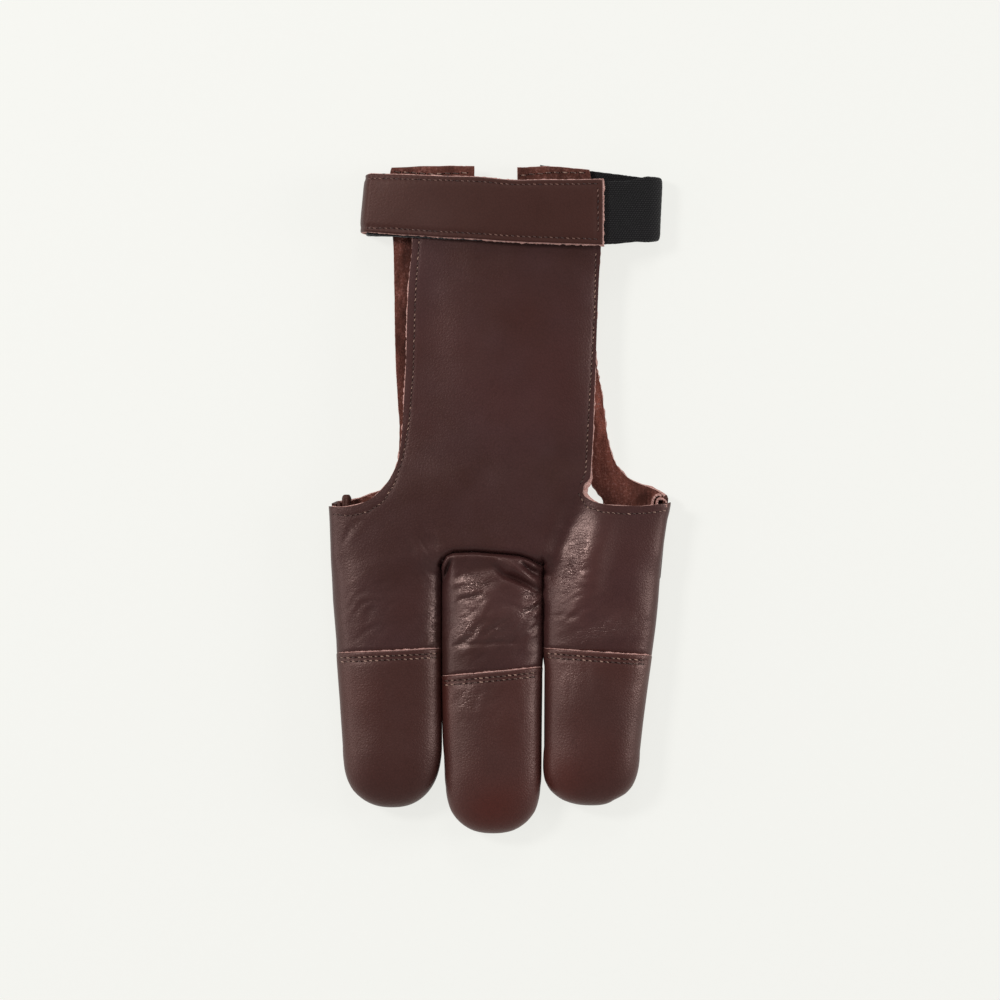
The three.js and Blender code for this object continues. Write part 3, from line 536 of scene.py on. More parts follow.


# Chrome-tanned cowhide, dyed through and lightly finished: a satin brown with pebbled grain, redder
# patches where the dye took more, painted shade in the grain's grooves, and a painted highlight on the ridges
# of folds and wrinkles.
def makeGrainLeather(name, look):
    material, tree, place = newMaterial(name)
    ridgeHighlight, redder, crumple = [addNode(tree, "Attribute", attribute_name=word).outputs["Fac"]
                                for word in ("ridgeHighlight", "redder", "crumple")]
    patches, redPatches, pores = [
        addNode(tree, "TexNoise", {"Vector": place, "Scale": perSize(grainLook[word]), "Detail": detail,
                                   "Roughness": roughness})
        for word, detail, roughness in (("patches", 3, 0.6), ("redPatches", 2, 0.5), ("pores", 2, 0.5))]
    cells, fineCells = [
        addNode(tree, "TexVoronoi", {"Vector": place, "Scale": perSize(grainLook[word]),
                                     "Randomness": spread}, feature=feature)
        for word, spread, feature in (("cells", 0.95, "DISTANCE_TO_EDGE"), ("fineCells", 1, "F1"))]
    lightShare, redShare, grooveShade, pebbles, roughness = [
        addNode(tree, "MapRange", {"Value": value, "From Min": start, "From Max": end,
                                   "To Min": low, "To Max": high})
        for value, start, end, low, high in (
            (patches, 0.35, 0.68, 0, 1), (redPatches, 0.45, 0.7, 0, 0.4), (cells, 0, 0.12, 0.82, 1),
            (cells, 0, 0.3, 0, 1), (pores, 0.3, 0.7, *look["rough"]))]
    redShare = addNode(tree, "Math", {0: redShare, 1: redder}, operation="ADD", use_clamp=True)
    colour = look["base"]
    # Random lighter and redder patches, then painted shade darkening the grain's grooves and a painted
    # highlight on fold and wrinkle ridges.
    for share, top, how in ((lightShare, look["light"], "MIX"), (redShare, look["red"], "MIX"),
                            (1, grooveShade, "MULTIPLY"), (ridgeHighlight, grainLook["ridgeHighlightColour"], "MIX")):
        colour = addNode(tree, "Mix", {0: share, 6: colour, 7: top}, data_type="RGBA", blend_type=how)
    grain = addNode(tree, "Math", {0: pebbles, 1: fineCells}, operation="SUBTRACT")
    grain = addNode(tree, "Math", {0: pores, 1: 0.6, 2: grain}, operation="MULTIPLY_ADD")
    grain = addNode(tree, "Math", {0: grain, 1: look["grain"]}, operation="MULTIPLY")
    # Creases of crumpled leather: long ones and short ones, each a narrow valley between even plates.
    ridges = 0
    for degrees, size, squeeze, narrow, depth in grainLook["creases"]:
        turned = addNode(tree, "Mapping", {"Vector": place, "Rotation": (0, 0, math.radians(degrees)),
                                           "Scale": (1, squeeze, 1)})
        lines = addNode(tree, "TexNoise", {"Vector": turned, "Scale": perSize(size), "Distortion": 0.6})
        away = addNode(tree, "Math", {0: lines, 1: 0.5}, operation="SUBTRACT")
        away = addNode(tree, "Math", {0: away}, operation="ABSOLUTE")
        crease = addNode(tree, "MapRange", {"Value": away, "From Max": narrow, "To Min": -depth, "To Max": 0})
        ridges = addNode(tree, "Math", {0: crease, 1: ridges}, operation="ADD")
    creased = addNode(tree, "Math", {0: crumple, 1: 2}, operation="POWER")
    folded = addNode(tree, "Math", {0: ridges, 1: creased}, operation="MULTIPLY")
    height, roughness, gloss = [
        addNode(tree, "Math", {0: value, 1: factor, 2: start}, operation="MULTIPLY_ADD")
        for value, factor, start in (
            (folded, look["crumple"], grain), (crumple, grainLook["crumpleRoughness"], roughness),
            (crumple, grainLook["crumpleGloss"], look["gloss"]))]
    finishMaterial(tree, colour, roughness, height, 1,
                   {"IOR": 1.5, "Specular IOR Level": gloss, "Specular Tint": grainLook["tint"]})
    return material


# Colours of the suede, of the tufts raised on it and of its sheen.
suedeLook = {"dark": "#44231c", "light": "#79463b", "tufts": "#b07a71", "sheen": "#b98a7c"}


# Split flesh side of the same hide, buffed to suede: dull, red-brown, with a short nap.
def makeSuede():
    material, tree, place = newMaterial("suedeFleshSide")
    stroked = addNode(tree, "Mapping", {"Vector": place, "Scale": (2.2, 0.7, 1)})
    brushed, nap, tufts = [
        addNode(tree, "TexNoise", {"Vector": where, "Scale": perSize(size), "Detail": detail,
                                   "Roughness": roughness})
        for where, size, detail, roughness in (
            (stroked, 9, 5, 0.68), (place, 0.45, 4, 0.7), (place, 0.75, 2, 0.5))]
    lightShare, speckle, tuftShare = [
        addNode(tree, "MapRange", {"Value": value, "From Min": start, "From Max": end,
                                   "To Min": low, "To Max": high})
        for value, start, end, low, high in (
            (brushed, 0.32, 0.7, 0, 1), (nap, 0.3, 0.75, 0.7, 1.3), (tufts, 0.52, 0.74, 0, 0.7))]
    # Painted light and shade: the suede's colour is lightened or darkened per point.
    suedeLightShade = addNode(tree, "Attribute", attribute_name="suedeLightShade").outputs["Fac"]
    suedeLightShade = addNode(tree, "Math", {0: suedeLightShade, 1: 1}, operation="ADD")
    tuftShare = addNode(tree, "Math", {0: tuftShare, 1: lightShare}, operation="MULTIPLY")
    tuftShare = addNode(tree, "Math", {0: tuftShare, 1: suedeLightShade}, operation="MULTIPLY", use_clamp=True)
    colour = suedeLook["dark"]
    for share, top, how in ((lightShare, suedeLook["light"], "MIX"), (1, speckle, "MULTIPLY"),
                            (1, suedeLightShade, "MULTIPLY"), (tuftShare, suedeLook["tufts"], "MIX")):
        colour = addNode(tree, "Mix", {0: share, 6: colour, 7: top}, data_type="RGBA", blend_type=how)
    finishMaterial(tree, colour, 0.95, nap, 0.3, {
        "IOR": 1.45, "Specular IOR Level": 0.2, "Sheen Weight": 0.35, "Sheen Roughness": 0.6,
        "Sheen Tint": suedeLook["sheen"]})
    return material


# Materials with one pattern: the colours of its low and high places, its kind and size in mm, which
# part of it the colours span, and its relief. A thread's relief is its plies, of this size in mm.
threadLook = {"kind": "TexNoise", "size": 1.3, "settings": {"Detail": 1}, "span": (0.44, 0.62), "plies": 0.5,
              "roughness": 0.6, "relief": 0.05, "shader": {"IOR": 1.5, "Sheen Weight": 0.1}}
plainLook = {
    # Raw cut edge: the undyed core shows as a pinkish tan, fibrous line.
    "rawCutLeather": {
        "colours": ("#96645c", "#d8b0a6"), "kind": "TexNoise", "size": 0.5,
        "settings": {"Detail": 3, "Roughness": 0.7}, "span": (0.3, 0.7), "roughness": 0.92, "relief": 0.25,
        "shader": {"IOR": 1.45, "Specular IOR Level": 0.2}},
    # Bonded polyester sewing thread, twisted from plies: a brown cord with slanting ridges.
    "twistedPolyesterThread": {"colours": ("#432a22", "#a07d6d"), **threadLook},
    "darkPolyesterThread": {"colours": ("#351e19", "#7d584b"), **threadLook},
    # Needle holes: dark discs of painted shade at the ends of each stitch.
    "needleHoleShadow": {
        "colours": ("#150b0a", "#24130f"), "kind": "TexNoise", "size": 0.6, "settings": {}, "span": (0, 1),
        "roughness": 0.9, "relief": 0.05, "shader": {"IOR": 1.45, "Specular IOR Level": 0.1}},
    # Nylon hook and loop tape: dense black pile that swallows light.
    "nylonLoopTape": {
        "colours": ("#1f1d1e", "#0d0c0d"), "kind": "TexVoronoi", "size": 0.7, "settings": {}, "span": (0, 1),
        "roughness": 0.95, "relief": 0.3,
        "shader": {"IOR": 1.5, "Specular IOR Level": 0.2, "Sheen Weight": 0.3}},
}


def makePlain(name):
    look = plainLook[name]
    (start, end), (low, high) = look["span"], look["colours"]
    material, tree, place = newMaterial(name)
    pattern = addNode(tree, look["kind"], {"Vector": place, "Scale": perSize(look["size"]), **look["settings"]})
    share = addNode(tree, "MapRange", {"Value": pattern, "From Min": start, "From Max": end})
    colour = addNode(tree, "Mix", {0: share, 6: low, 7: high}, data_type="RGBA")
    if "plies" in look:
        pattern = addNode(tree, "TexWave", {"Vector": place, "Scale": perBand(look["plies"]), "Distortion": 1},
                          bands_direction="DIAGONAL").outputs["Fac"]
    finishMaterial(tree, colour, look["roughness"], pattern, look["relief"], look["shader"])
    return material


# Woven polyester elastic: matt black with a fine basket of ribs. Real ribs are 0.5 mm apart and are
# drawn about 0.65 mm apart, so that they show.
def makeElastic():
    material, tree, place = newMaterial("wovenPolyesterElastic")
    turned = addNode(tree, "Mapping", {"Vector": place, "Rotation": (0, 0, math.radians(32))})
    across, down = [
        addNode(tree, "TexWave", {"Vector": where, "Scale": perBand(size), "Distortion": 1.2},
                bands_direction=direction).outputs["Fac"]
        for where, size, direction in ((turned, 0.66, "X"), (place, 0.62, "Y"))]
    fuzz = addNode(tree, "TexNoise", {"Vector": place, "Scale": perSize(0.5), "Detail": 3})
    weave = addNode(tree, "Math", {0: across, 1: down}, operation="MULTIPLY")
    height = addNode(tree, "Math", {0: fuzz, 1: 0.4, 2: weave}, operation="MULTIPLY_ADD")
    colour = addNode(tree, "Mix", {0: weave, 6: "#0a090a", 7: "#2d2b2c"}, data_type="RGBA")
    finishMaterial(tree, colour, 0.88, height, 0.16, {
        "IOR": 1.5, "Specular IOR Level": 0.25, "Sheen Weight": 0.06, "Sheen Roughness": 0.5})
    return material


frontLeather = makeGrainLeather("dyedCowhideFront", leatherLook["front"])
capLeather = makeGrainLeather("dyedCowhideCap", leatherLook["cap"])
strapLeather = makeGrainLeather("dyedCowhideStrap", leatherLook["strap"])
rearGrain = makeGrainLeather("dyedCowhideRear", leatherLook["rear"])
suede = makeSuede()
cutEdge, threadMaterial, strapThread, holeShadeMaterial, loopTape = [makePlain(name) for name in plainLook]
elasticMaterial = makeElastic()
print("materials made")


# One mesh object from points in mm, riding on the glove.
def makePiece(name, points, faces, materials, faceMaterials=None, flatFaces=None, nodes=()):
    mesh = bpy.data.meshes.new(name)
    mesh.from_pydata([tuple(p) for p in np.asarray(points) * 0.001], [], faces)
    for material in materials:
        mesh.materials.append(material)
    smooth = np.ones(len(faces), bool)
    if flatFaces is not None:
        smooth[flatFaces] = False
    mesh.polygons.foreach_set("use_smooth", smooth)
    if faceMaterials is not None:
        mesh.polygons.foreach_set("material_index", np.asarray(faceMaterials, np.int32))
    mesh.update()
    piece = bpy.data.objects.new(name, mesh)
    bpy.context.collection.objects.link(piece)
    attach(piece, "root")
    if nodes:
        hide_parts(*nodes)
    return piece


# A sheet's raw edge in mm: how round it is, how far it stands out and how ragged it is.
sheetEdge = {"round": 0.18, "out": 0.45, "ragged": 0.75, "mostRagged": 0.5, "mostRecess": 0.25, "middle": 1.15}


# A sheet of leather from a grid of points on its outer face. present says which cells exist, seam
# marks points on a side seam, and the raw edge shows by rawShow on every border that isn't hidden.
def makeSheet(name, points, thickness, faceUp, materials, nodes, present=None, seam=None,
              hidden=None, rawShow=0.3, marks=None):
    rows, columns = points.shape[:2]
    if present is None:
        present = np.ones((rows - 1, columns - 1), bool)
    if seam is None:
        seam = np.zeros((rows, columns), bool)
    if hidden is None:
        hidden = seam
    index = np.arange(rows * columns).reshape(rows, columns)
    corners = np.stack([index[:-1, :-1], index[1:, :-1], index[1:, 1:], index[:-1, 1:]], -1)[present]
    if not faceUp:
        corners = corners[:, ::-1]
    flat = points.reshape(-1, 3)
    count = len(flat)
    a, b, c, d = (flat[corners[:, k]] for k in range(4))
    faceNormals = np.cross(c - a, d - b)
    normals = np.zeros_like(flat)
    for k in range(4):
        np.add.at(normals, corners[:, k], faceNormals)
    normals[seam.ravel(), 2] = 0
    if seam[-1].all():
        # The last rows go round a fingertip, so none of them faces the wrist.
        tip = -8 * columns
        normals[tip:, 1] = -np.abs(normals[tip:, 1])
        normals[-columns:] = (0, -1, 0)
    normals /= np.maximum(np.linalg.norm(normals, axis=1), 1e-9)[:, None]
    edges = np.concatenate([corners[:, [k, (k + 1) % 4]] for k in range(4)])
    keys = edges[:, 0] * count + edges[:, 1]
    border = edges[~np.isin(keys, edges[:, 1] * count + edges[:, 0])]
    outward = np.zeros_like(flat)
    side = np.cross(flat[border[:, 1]] - flat[border[:, 0]], normals[border[:, 0]])
    for k in range(2):
        np.add.at(outward, border[:, k], side)
    outward /= np.maximum(np.linalg.norm(outward, axis=1), 1e-9)[:, None]
    raw = np.zeros(count)
    raw[border.ravel()] = 1
    raw[hidden.ravel()] = 0
    rough = np.zeros(count)
    rough[border.ravel()] = [noise.noise(Vector(p) * 1.7) + 0.6 * noise.noise(Vector(p) * 0.5)
                             for p in flat[border.ravel()]]
    show = raw * np.ravel(rawShow)
    ragged = sheetEdge["ragged"] * rough * np.minimum(show, sheetEdge["mostRagged"])
    reach = outward * (show * sheetEdge["out"] + ragged)[:, None]
    recess = outward * np.minimum(show * 0.5, sheetEdge["mostRecess"])[:, None]
    outerShift, innerShift = (-recess, reach) if faceUp else (reach, -recess)
    outer = flat + outerShift - normals * (raw * sheetEdge["round"])[:, None]
    middle = flat + reach * sheetEdge["middle"] - normals * thickness * 0.5
    inner = flat + innerShift - normals * thickness
    # The three layers are numbered one after another: outer, inner, middle.
    start, end = border[:, 0], border[:, 1]
    walls = [
        np.stack([end, start, start + 2 * count, end + 2 * count], -1),
        np.stack([end + 2 * count, start + 2 * count, start + count, end + count], -1),
    ]
    faces = np.concatenate([corners, corners[:, ::-1] + count, *walls])
    used, renumbered = np.unique(faces, return_inverse=True)
    allPoints = np.concatenate([outer, inner, middle])[used]
    rimKinds = np.where(raw[border].min(axis=1) > 0, 2, 0)
    kinds = np.concatenate([np.zeros(len(corners)), np.ones(len(corners)), rimKinds, rimKinds])
    flatFaces = np.arange(2 * len(corners), len(faces))
    piece = makePiece(name, allPoints, renumbered.reshape(faces.shape).tolist(), materials, kinds,
                      flatFaces, nodes)
    for word, amounts in (marks or {}).items():
        attribute = piece.data.attributes.new(word, "FLOAT", "POINT")
        attribute.data.foreach_set("value", np.tile(amounts.ravel(), 3)[used].astype(np.float32))
    return piece


# Shares across a finger, crowded towards its two side seams.
def crowdedShares(count, crowding=0.06):
    turn = np.linspace(0, 1, count)
    turn = turn - crowding * np.sin(2 * math.pi * turn)
    return (1 - np.cos(math.pi * turn)) / 2


# Fractional row numbers of a table, so that the rows made from it lie about this many mm apart.
def fineRows(places, spacing):
    counts = np.maximum(1, np.round(np.diff(places) * glove["length"] / spacing)).astype(int)
    parts = [np.linspace(i, i + 1, count, endpoint=False) for i, count in enumerate(counts)]
    return np.append(np.concatenate(parts), len(places) - 1)


def readColumns(table, rows):
    return [curveThrough(range(len(table)), table[:, k])(rows)[:, None] for k in range(table.shape[1])]


# How far the middle finger's seam dips towards the tips at its two corners, as a share of the length.
seamDip = {
    "x": [-30, -24, -20, -17.6, -16.8, -16, -14, -7.6, 1.35, 6, 9.5, 11.9, 13, 16, 20, 24],
    "dip": [0, 0.004, 0.014, 0.0185, 0.009, 0.001, -0.0035, -0.0045, -0.0008, 0.0015, 0.008, 0.0155, 0.016,
            0.008, 0.002, 0],
}


def dippedAlong(x, along):
    dip = np.interp(x, seamDip["x"], seamDip["dip"])
    return along + dip * smoothStep(along, 0.552, 0.581) * (1 - smoothStep(along, 0.584, 0.665))


seamPlaces = [(x, placeY(glove["rootSeam"] + d)) for x, d in zip(seamDip["x"][3:-3], seamDip["dip"][3:-3])]
# Rows of stitches on the front panel, in mm from the glove's middle.
stitchRows = {
    "panelLeft": [(-24.15, 77.7), (-25.35, 59.7), (-25.95, 38.1), (-27.15, 23.4), (-28.95, 12.6), (-31.35, 5.1),
                  (-34.95, -0.6), (-39.45, -3.6), (-44.55, -4.8), (-50.25, -4.2)],
    "panelRight": [(28.65, 74.1), (28.3, 56.1), (27.2, 37.8), (26.35, 23.4), (25.6, 8.7), (24.75, 6.3),
                   (23.7, 4.2)],
    "panelMouth": [(23.25, 2.1), (25.95, -2.1), (30.45, -3.6), (37.65, -4.2), (44.85, -3.9), (50.25, -3)],
}


def capEdgeAt(finger, share):
    return blend(finger["capEdge"][0], finger["capEdge"][1], share)


# The leather near a side seam curls in towards it.
def curledX(x, t, z, seamZ, shrink=1):
    amount = 0.4 * shrink**2 * smoothStep(np.abs(t), 0.8, 0.95)
    return x - np.sign(t) * amount * np.exp(-(((z - seamZ) / 0.7) ** 2))


# How far the filled-out leather stands past a finger's even width.
def bulgeX(finger, along, t):
    amounts = [np.interp(along, *finger["bulge"][side]) for side in (-1, 1)]
    return np.where(t < 0, -amounts[0], amounts[1]) * np.abs(t) ** 3


# Height of the finished front, with its folds, stitch puckers and fine wrinkles, and how much painted highlight
# their ridges get.
def dressedFront(x, along, t, finger, dip):
    y = placeY(along)
    if finger is None:
        base = frontHeight(x, along)
        own = arch(knuckleShare(x, along), glove["knuckleRoundness"])
    else:
        centre, half, shrink = fingerSection(finger, along)
        own = arch(t, glove["fingerRoundness"])
        base = frontSeam + (glove["fingerRise"] * shrink - dip) * own
    isMiddle = finger is fingers["middle"]
    shape = foldHeight(x, y, middleFolds if isMiddle else folds)
    if isMiddle:
        shape = shape + patchSum(x, y, middleSwells)
    wrinkles = wrinkleHeight(x, y, middleWrinkles if isMiddle else frontWrinkles)
    groove = foldHeight(x, y, [(seamPlaces, 0.8, -1.5)], 1)
    pucker = 0 if isMiddle else foldHeight(x, y, [(row, 0.6, -0.08) for row in stitchRows.values()], 1)
    slow = 0.22 * unevenness(x, y, 9, 3.1) + 0.3 * unevenness(x, y, 24, 8.2)
    fade = np.minimum(1, own * 1.6)
    height = base + fade * (shape + wrinkles + groove + slow) + pucker
    # The ridges of folds and wrinkles get a painted highlight.
    ridgeHighlight = np.clip(0.1 * np.maximum(shape, 0) + 0.55 * np.maximum(wrinkles, 0), 0, 0.3)
    return height, ridgeHighlight


# The finger leather's rows, its length under the cap and over how much of it it dips, as shares of
# the glove's length, and the dip in mm. The middle finger starts above its seam and sinks there.
legLook = {"rows": 50, "underCap": 0.028, "dipOver": 0.004, "dip": 1.35,
           "middleRows": 68, "middleTuck": 0.009, "middleSunk": 1.5}


# Finger leather from the root seam to its hidden end under the cap, before and after it dips there.
def legGrid(finger, shares, start, rowCount):
    s = np.linspace(0, 1, rowCount)[:, None]
    share = shares[None, :]
    edge = capEdgeAt(finger, share)
    along = blend(start, edge + legLook["underCap"], s) + 0 * share
    centre, half, shrink = fingerSection(finger, along)
    t = 2 * share - 1 + 0 * along
    x = centre + half * t
    along = dippedAlong(x, along)
    over = legLook["dipOver"]
    dip = legLook["dip"] * smoothStep(along, edge - over, edge + over)
    height, ridgeHighlight = dressedFront(x, along, t, finger, dip)
    # Between the root seam and the crotch the fingers are still one.
    whole, ridgeHighlightWhole = dressedFront(x, along, t, None, 0)
    share = smoothStep(along, glove["crotch"] - 0.004, glove["crotch"])
    if finger is fingers["middle"]:
        own = glove["fingerRise"] * arch(t, glove["fingerRoundness"])
        whole = height + frontHeight(x, along) - frontSeam - own
    z = blend(whole, height, share)
    z[:, [0, -1]] = np.where((along > glove["crotch"])[:, [0, -1]], frontSeam, z[:, [0, -1]])
    x = curledX(x, t, z, frontSeam) + bulgeX(finger, along, t)
    return np.stack([x, placeY(along), z], -1), blend(ridgeHighlightWhole, ridgeHighlight, share)


# Columns of points: across each outer finger and the strip between them, and in the other pieces.
columnCounts = {"frontFinger": 80, "frontMiddle": 44, "middleFinger": 84, "cap": 76, "rearFinger": 46}
# Distance between rows of points in mm.
rowSpacing = {"front": 0.72, "cap": 0.68, "rear": 1}


# A panel's points in plan: its fractional rows, places across and along, and the points on a side seam.
def panelGrid(table, spacing, seamRow, outer, middle):
    rows = fineRows(table[:, 0], spacing)
    place, *inner, left, leftAlong, right, rightAlong = readColumns(table, rows)
    # The front has no palm opening, so its outer strips end at the middle finger.
    inLeft, inRight = inner or (fingers["left"]["right"][0], fingers["right"]["left"][0])
    onSeam = (rows >= seamRow)[:, None]
    left = np.where(onSeam, fingers["left"]["leftEdge"](leftAlong), left)
    right = np.where(onSeam, fingers["right"]["rightEdge"](rightAlong), right)
    x = np.hstack([
        placeX(blend(left, inLeft, outer)),
        placeX(blend(fingers["middle"]["left"][0], fingers["middle"]["right"][0], middle)) + 0 * place,
        placeX(blend(inRight, right, outer)),
    ])
    along = np.hstack([blend(place, leftAlong, (1 - outer) ** 3), place + 0 * middle,
                       blend(place, rightAlong, outer**3)])
    isSeam = np.zeros(x.shape, bool)
    isSeam[:, [0, -1]] = onSeam
    return rows, x, along, isSeam


# Where the front's raw edge is wider, in mm: the notch, the hand's left edge and its right rim.
def frontRawShow(x, y):
    notch = np.exp(-(((x - 26) / 3.2) ** 2) - ((y - 3.5) / 4.5) ** 2)
    hand = np.exp(-(((x + 29) / 4) ** 2)) * np.exp(-(((y - 41) / 24) ** 4))
    rightRim = np.exp(-(((x - 29.5) / 2.2) ** 2)) * smoothStep(y, 10, 14) * (1 - smoothStep(y, 36, 44))
    return 0.28 + 2.9 * notch + 0.28 * hand + 0.8 * rightRim


# The hand panel: a broad strip from the wrist that spreads into the two outer fingers.
def makeFrontPanel():
    fingerCount, middleCount = columnCounts["frontFinger"], columnCounts["frontMiddle"]
    lastLeft, firstRight = fingerCount - 1, fingerCount + middleCount
    outer = crowdedShares(fingerCount)
    rows, x, along, isSeam = panelGrid(panelRows, rowSpacing["front"], panelSeamRow, outer,
                                      np.linspace(0, 1, middleCount))
    along = dippedAlong(x, along)
    z, ridgeHighlight = dressedFront(x, along, None, None, 0)
    z[isSeam] = frontSeam
    t = np.repeat([-1, 0, 1], [fingerCount, middleCount, fingerCount])
    side = np.abs(knuckleShare(x, along))
    curl = np.where((side > 0.97) & (rows >= panelSeamRow)[:, None], t, 0)
    bulge = np.where(x < 0, -np.interp(along, *fingers["left"]["bulge"][-1]),
                     np.interp(along, *fingers["right"]["bulge"][1]))
    x = curledX(x, curl, z, frontSeam) + bulge * side**8 * smoothStep(along, 0.495, 0.505)
    hand = np.stack([x, placeY(along), z], -1)
    legRows = legLook["rows"]
    leftLeg, leftRidgeHighlight = legGrid(fingers["left"], outer, glove["rootSeam"], legRows)
    rightLeg, rightRidgeHighlight = legGrid(fingers["right"], outer, glove["rootSeam"], legRows)
    spare = np.repeat(hand[-1:, fingerCount:firstRight], legRows - 1, axis=0)
    legs = np.concatenate([leftLeg[1:], spare, rightLeg[1:]], axis=1)
    ridgeHighlightLegs = np.hstack([leftRidgeHighlight[1:], 0 * spare[..., 0], rightRidgeHighlight[1:]])
    points = np.concatenate([hand, legs])
    handRows = len(rows)
    present = np.ones((len(points) - 1, points.shape[1] - 1), bool)
    present[handRows - 1:, lastLeft:firstRight] = False
    seam = np.zeros(points.shape[:2], bool)
    seam[:handRows] = isSeam
    crotchRow = handRows + np.argmax(leftLeg[1:, 0, 1] < placeY(glove["crotch"]))
    seam[handRows:, [0, -1]] = True
    seam[crotchRow:, [lastLeft, firstRight]] = True
    hidden = seam.copy()
    hidden[handRows - 1, lastLeft:firstRight + 1] = True
    hidden[handRows:, [lastLeft, firstRight]] = True
    hidden[-1] = True
    x, y = points[..., 0], points[..., 1]
    marks = {"ridgeHighlight": np.concatenate([ridgeHighlight, ridgeHighlightLegs]), "crumple": crumpleAt(x, y)}
    return makeSheet("frontPanelLeather", points, glove["leather"], True, [frontLeather, suede, cutEdge],
                     ["front_panel"], present, seam, hidden, frontRawShow(x, y), marks)


def makeMiddleFinger():
    shares = crowdedShares(columnCounts["middleFinger"])
    start = glove["rootSeam"] - legLook["middleTuck"]
    points, ridgeHighlight = legGrid(fingers["middle"], shares, start, legLook["middleRows"])
    x, y = points[..., 0], points[..., 1]
    # Its top edge is tucked under the hand's leather and sewn there.
    fromSeam = placeY(dippedAlong(x, glove["rootSeam"] + 0 * x)) - y
    points[..., 2] -= legLook["middleSunk"] * (1 - smoothStep(fromSeam, 0.15, 0.85))
    seam = np.zeros(x.shape, bool)
    seam[:, [0, -1]] = y[:, [0, -1]] < placeY(glove["crotch"])
    noRawEdge = np.ones(x.shape, bool)
    return makeSheet("middleFingerLeather", points, glove["leather"], True, [frontLeather, suede, cutEdge],
                     ["middle_finger_front"], None, seam, noRawEdge,
                     marks={"ridgeHighlight": ridgeHighlight, "crumple": crumpleAt(x, y)})


# Places along a finger from a start to its tip, even along the leather and round the tip.
def alongToTip(finger, start, spacing):
    domeStart = finger["tip"] - finger["dome"]
    straight = np.arange(0, 1, spacing / ((domeStart - start) * glove["length"]))
    angles = np.radians(np.linspace(0, 88, int(26 / spacing)))
    return np.concatenate([blend(start, domeStart, straight), domeStart + finger["dome"] * np.sin(angles)])


# The last row of a fingertip is a short rim on the side seam.
def tipRim(finger, before, shares, height):
    centre, half, shrink = fingerSection(finger, before)
    x = centre + 0.8 * half * (2 * shares - 1)
    return np.stack([x, np.full_like(x, placeY(finger["tip"])), np.full_like(x, height)], -1)[None]


# Where the caps' dye is redder: middle, radii, turn in degrees, amount.
redderFields = [
    ((-3, -94), (13, 10), 0, 0.8),
    ((18, -84), (7, 9), 0, 0.6),
    ((-16, -60), (2, 22), 0, 0.5),
]
capLook = {"proud": 0.35, "stitchRows": (1.65, 2.85), "pitch": 1.72}


# A fingertip's reinforcing cap: it stands proud of the finger leather, and its top edge is raw.
def makeCap(side):
    finger = fingers[side]
    shares = crowdedShares(columnCounts["cap"])
    first, last = finger["capEdge"]
    places = alongToTip(finger, (first + last) / 2, rowSpacing["cap"])
    fall = (1 - np.linspace(0, 1, len(places)))[:, None] ** 2
    along = places[:, None] + (last - first) / 2 * fall * (2 * shares - 1)
    centre, half, shrink = fingerSection(finger, along)
    t = 2 * shares - 1 + 0 * along
    proud = capLook["proud"] * (0.3 + 0.7 * shrink)
    x = centre + (half + 0.12) * t
    y = placeY(along)
    own = arch(t, glove["fingerRoundness"])
    fromEdge = placeY(capEdgeAt(finger, shares))[None, :] - y
    rows = 0
    for distance in capLook["stitchRows"]:
        phase = np.sin(2 * math.pi * x / capLook["pitch"])
        rows = rows - (0.2 + 0.1 * phase) * np.exp(-(((fromEdge - distance) / 0.5) ** 2))
    rows = rows + 0.12 * np.exp(-(((fromEdge - 0.4) / 0.6) ** 2))
    slow = 0.25 * unevenness(x, y, 10, 5.5) + 0.3 * unevenness(x, y, 22, 1.2)
    wrinkles = wrinkleHeight(x, y, capWrinkles)
    fade = np.minimum(1, own * 1.5)
    relief = fade * (rows + slow + wrinkles) * (0.2 + 0.8 * shrink)
    z = frontSeam + (glove["fingerRise"] * shrink + proud) * own + relief
    x = curledX(x, t, z, frontSeam, shrink) + bulgeX(finger, along, t)
    points = np.concatenate([np.stack([x, y, z], -1), tipRim(finger, places[-1], shares, frontSeam)])
    seam = np.zeros(points.shape[:2], bool)
    seam[:, [0, -1]] = True
    seam[-1] = True
    # The cap's wrinkle ridges get a painted highlight too.
    ridgeHighlight = np.clip(0.5 * np.maximum(wrinkles, 0), 0, 0.25)
    ridgeHighlight = np.concatenate([ridgeHighlight, ridgeHighlight[-1:]])
    x, y = points[..., 0], points[..., 1]
    marks = {"ridgeHighlight": ridgeHighlight, "crumple": crumpleAt(x, y), "redder": patchSum(x, y, redderFields)}
    return makeSheet(side + "FingertipCap", points, glove["capLeather"], True, [capLeather, suede, cutEdge],
                     [side + "_fingertip_cap"], None, seam, seam, marks=marks)


frontPanel = makeFrontPanel()
middleFinger = makeMiddleFinger()
caps = {side: makeCap(side) for side in fingers}
print("front leather made")


# Painted light and shade on the suede: painted light on the right flare, painted shade on the wrist tabs and
# beside the panel's left edge,
# and a paler streak down the left strip: middle, radii, turn in degrees, amount.
suedeLightShadeFields = [
    ((30.6, 25), (3.4, 11), 8, 2.4),
    ((34, 10), (4.5, 7), 30, 0.7),
    ((19, 97.5), (13, 5), 0, -0.42),
    ((-27, 97.5), (14, 5), 0, -0.2),
    ((-31.4, 50), (2, 40), 0, 0.3),
    ((-27.6, 50), (1.3, 40), 0, -0.35),
]


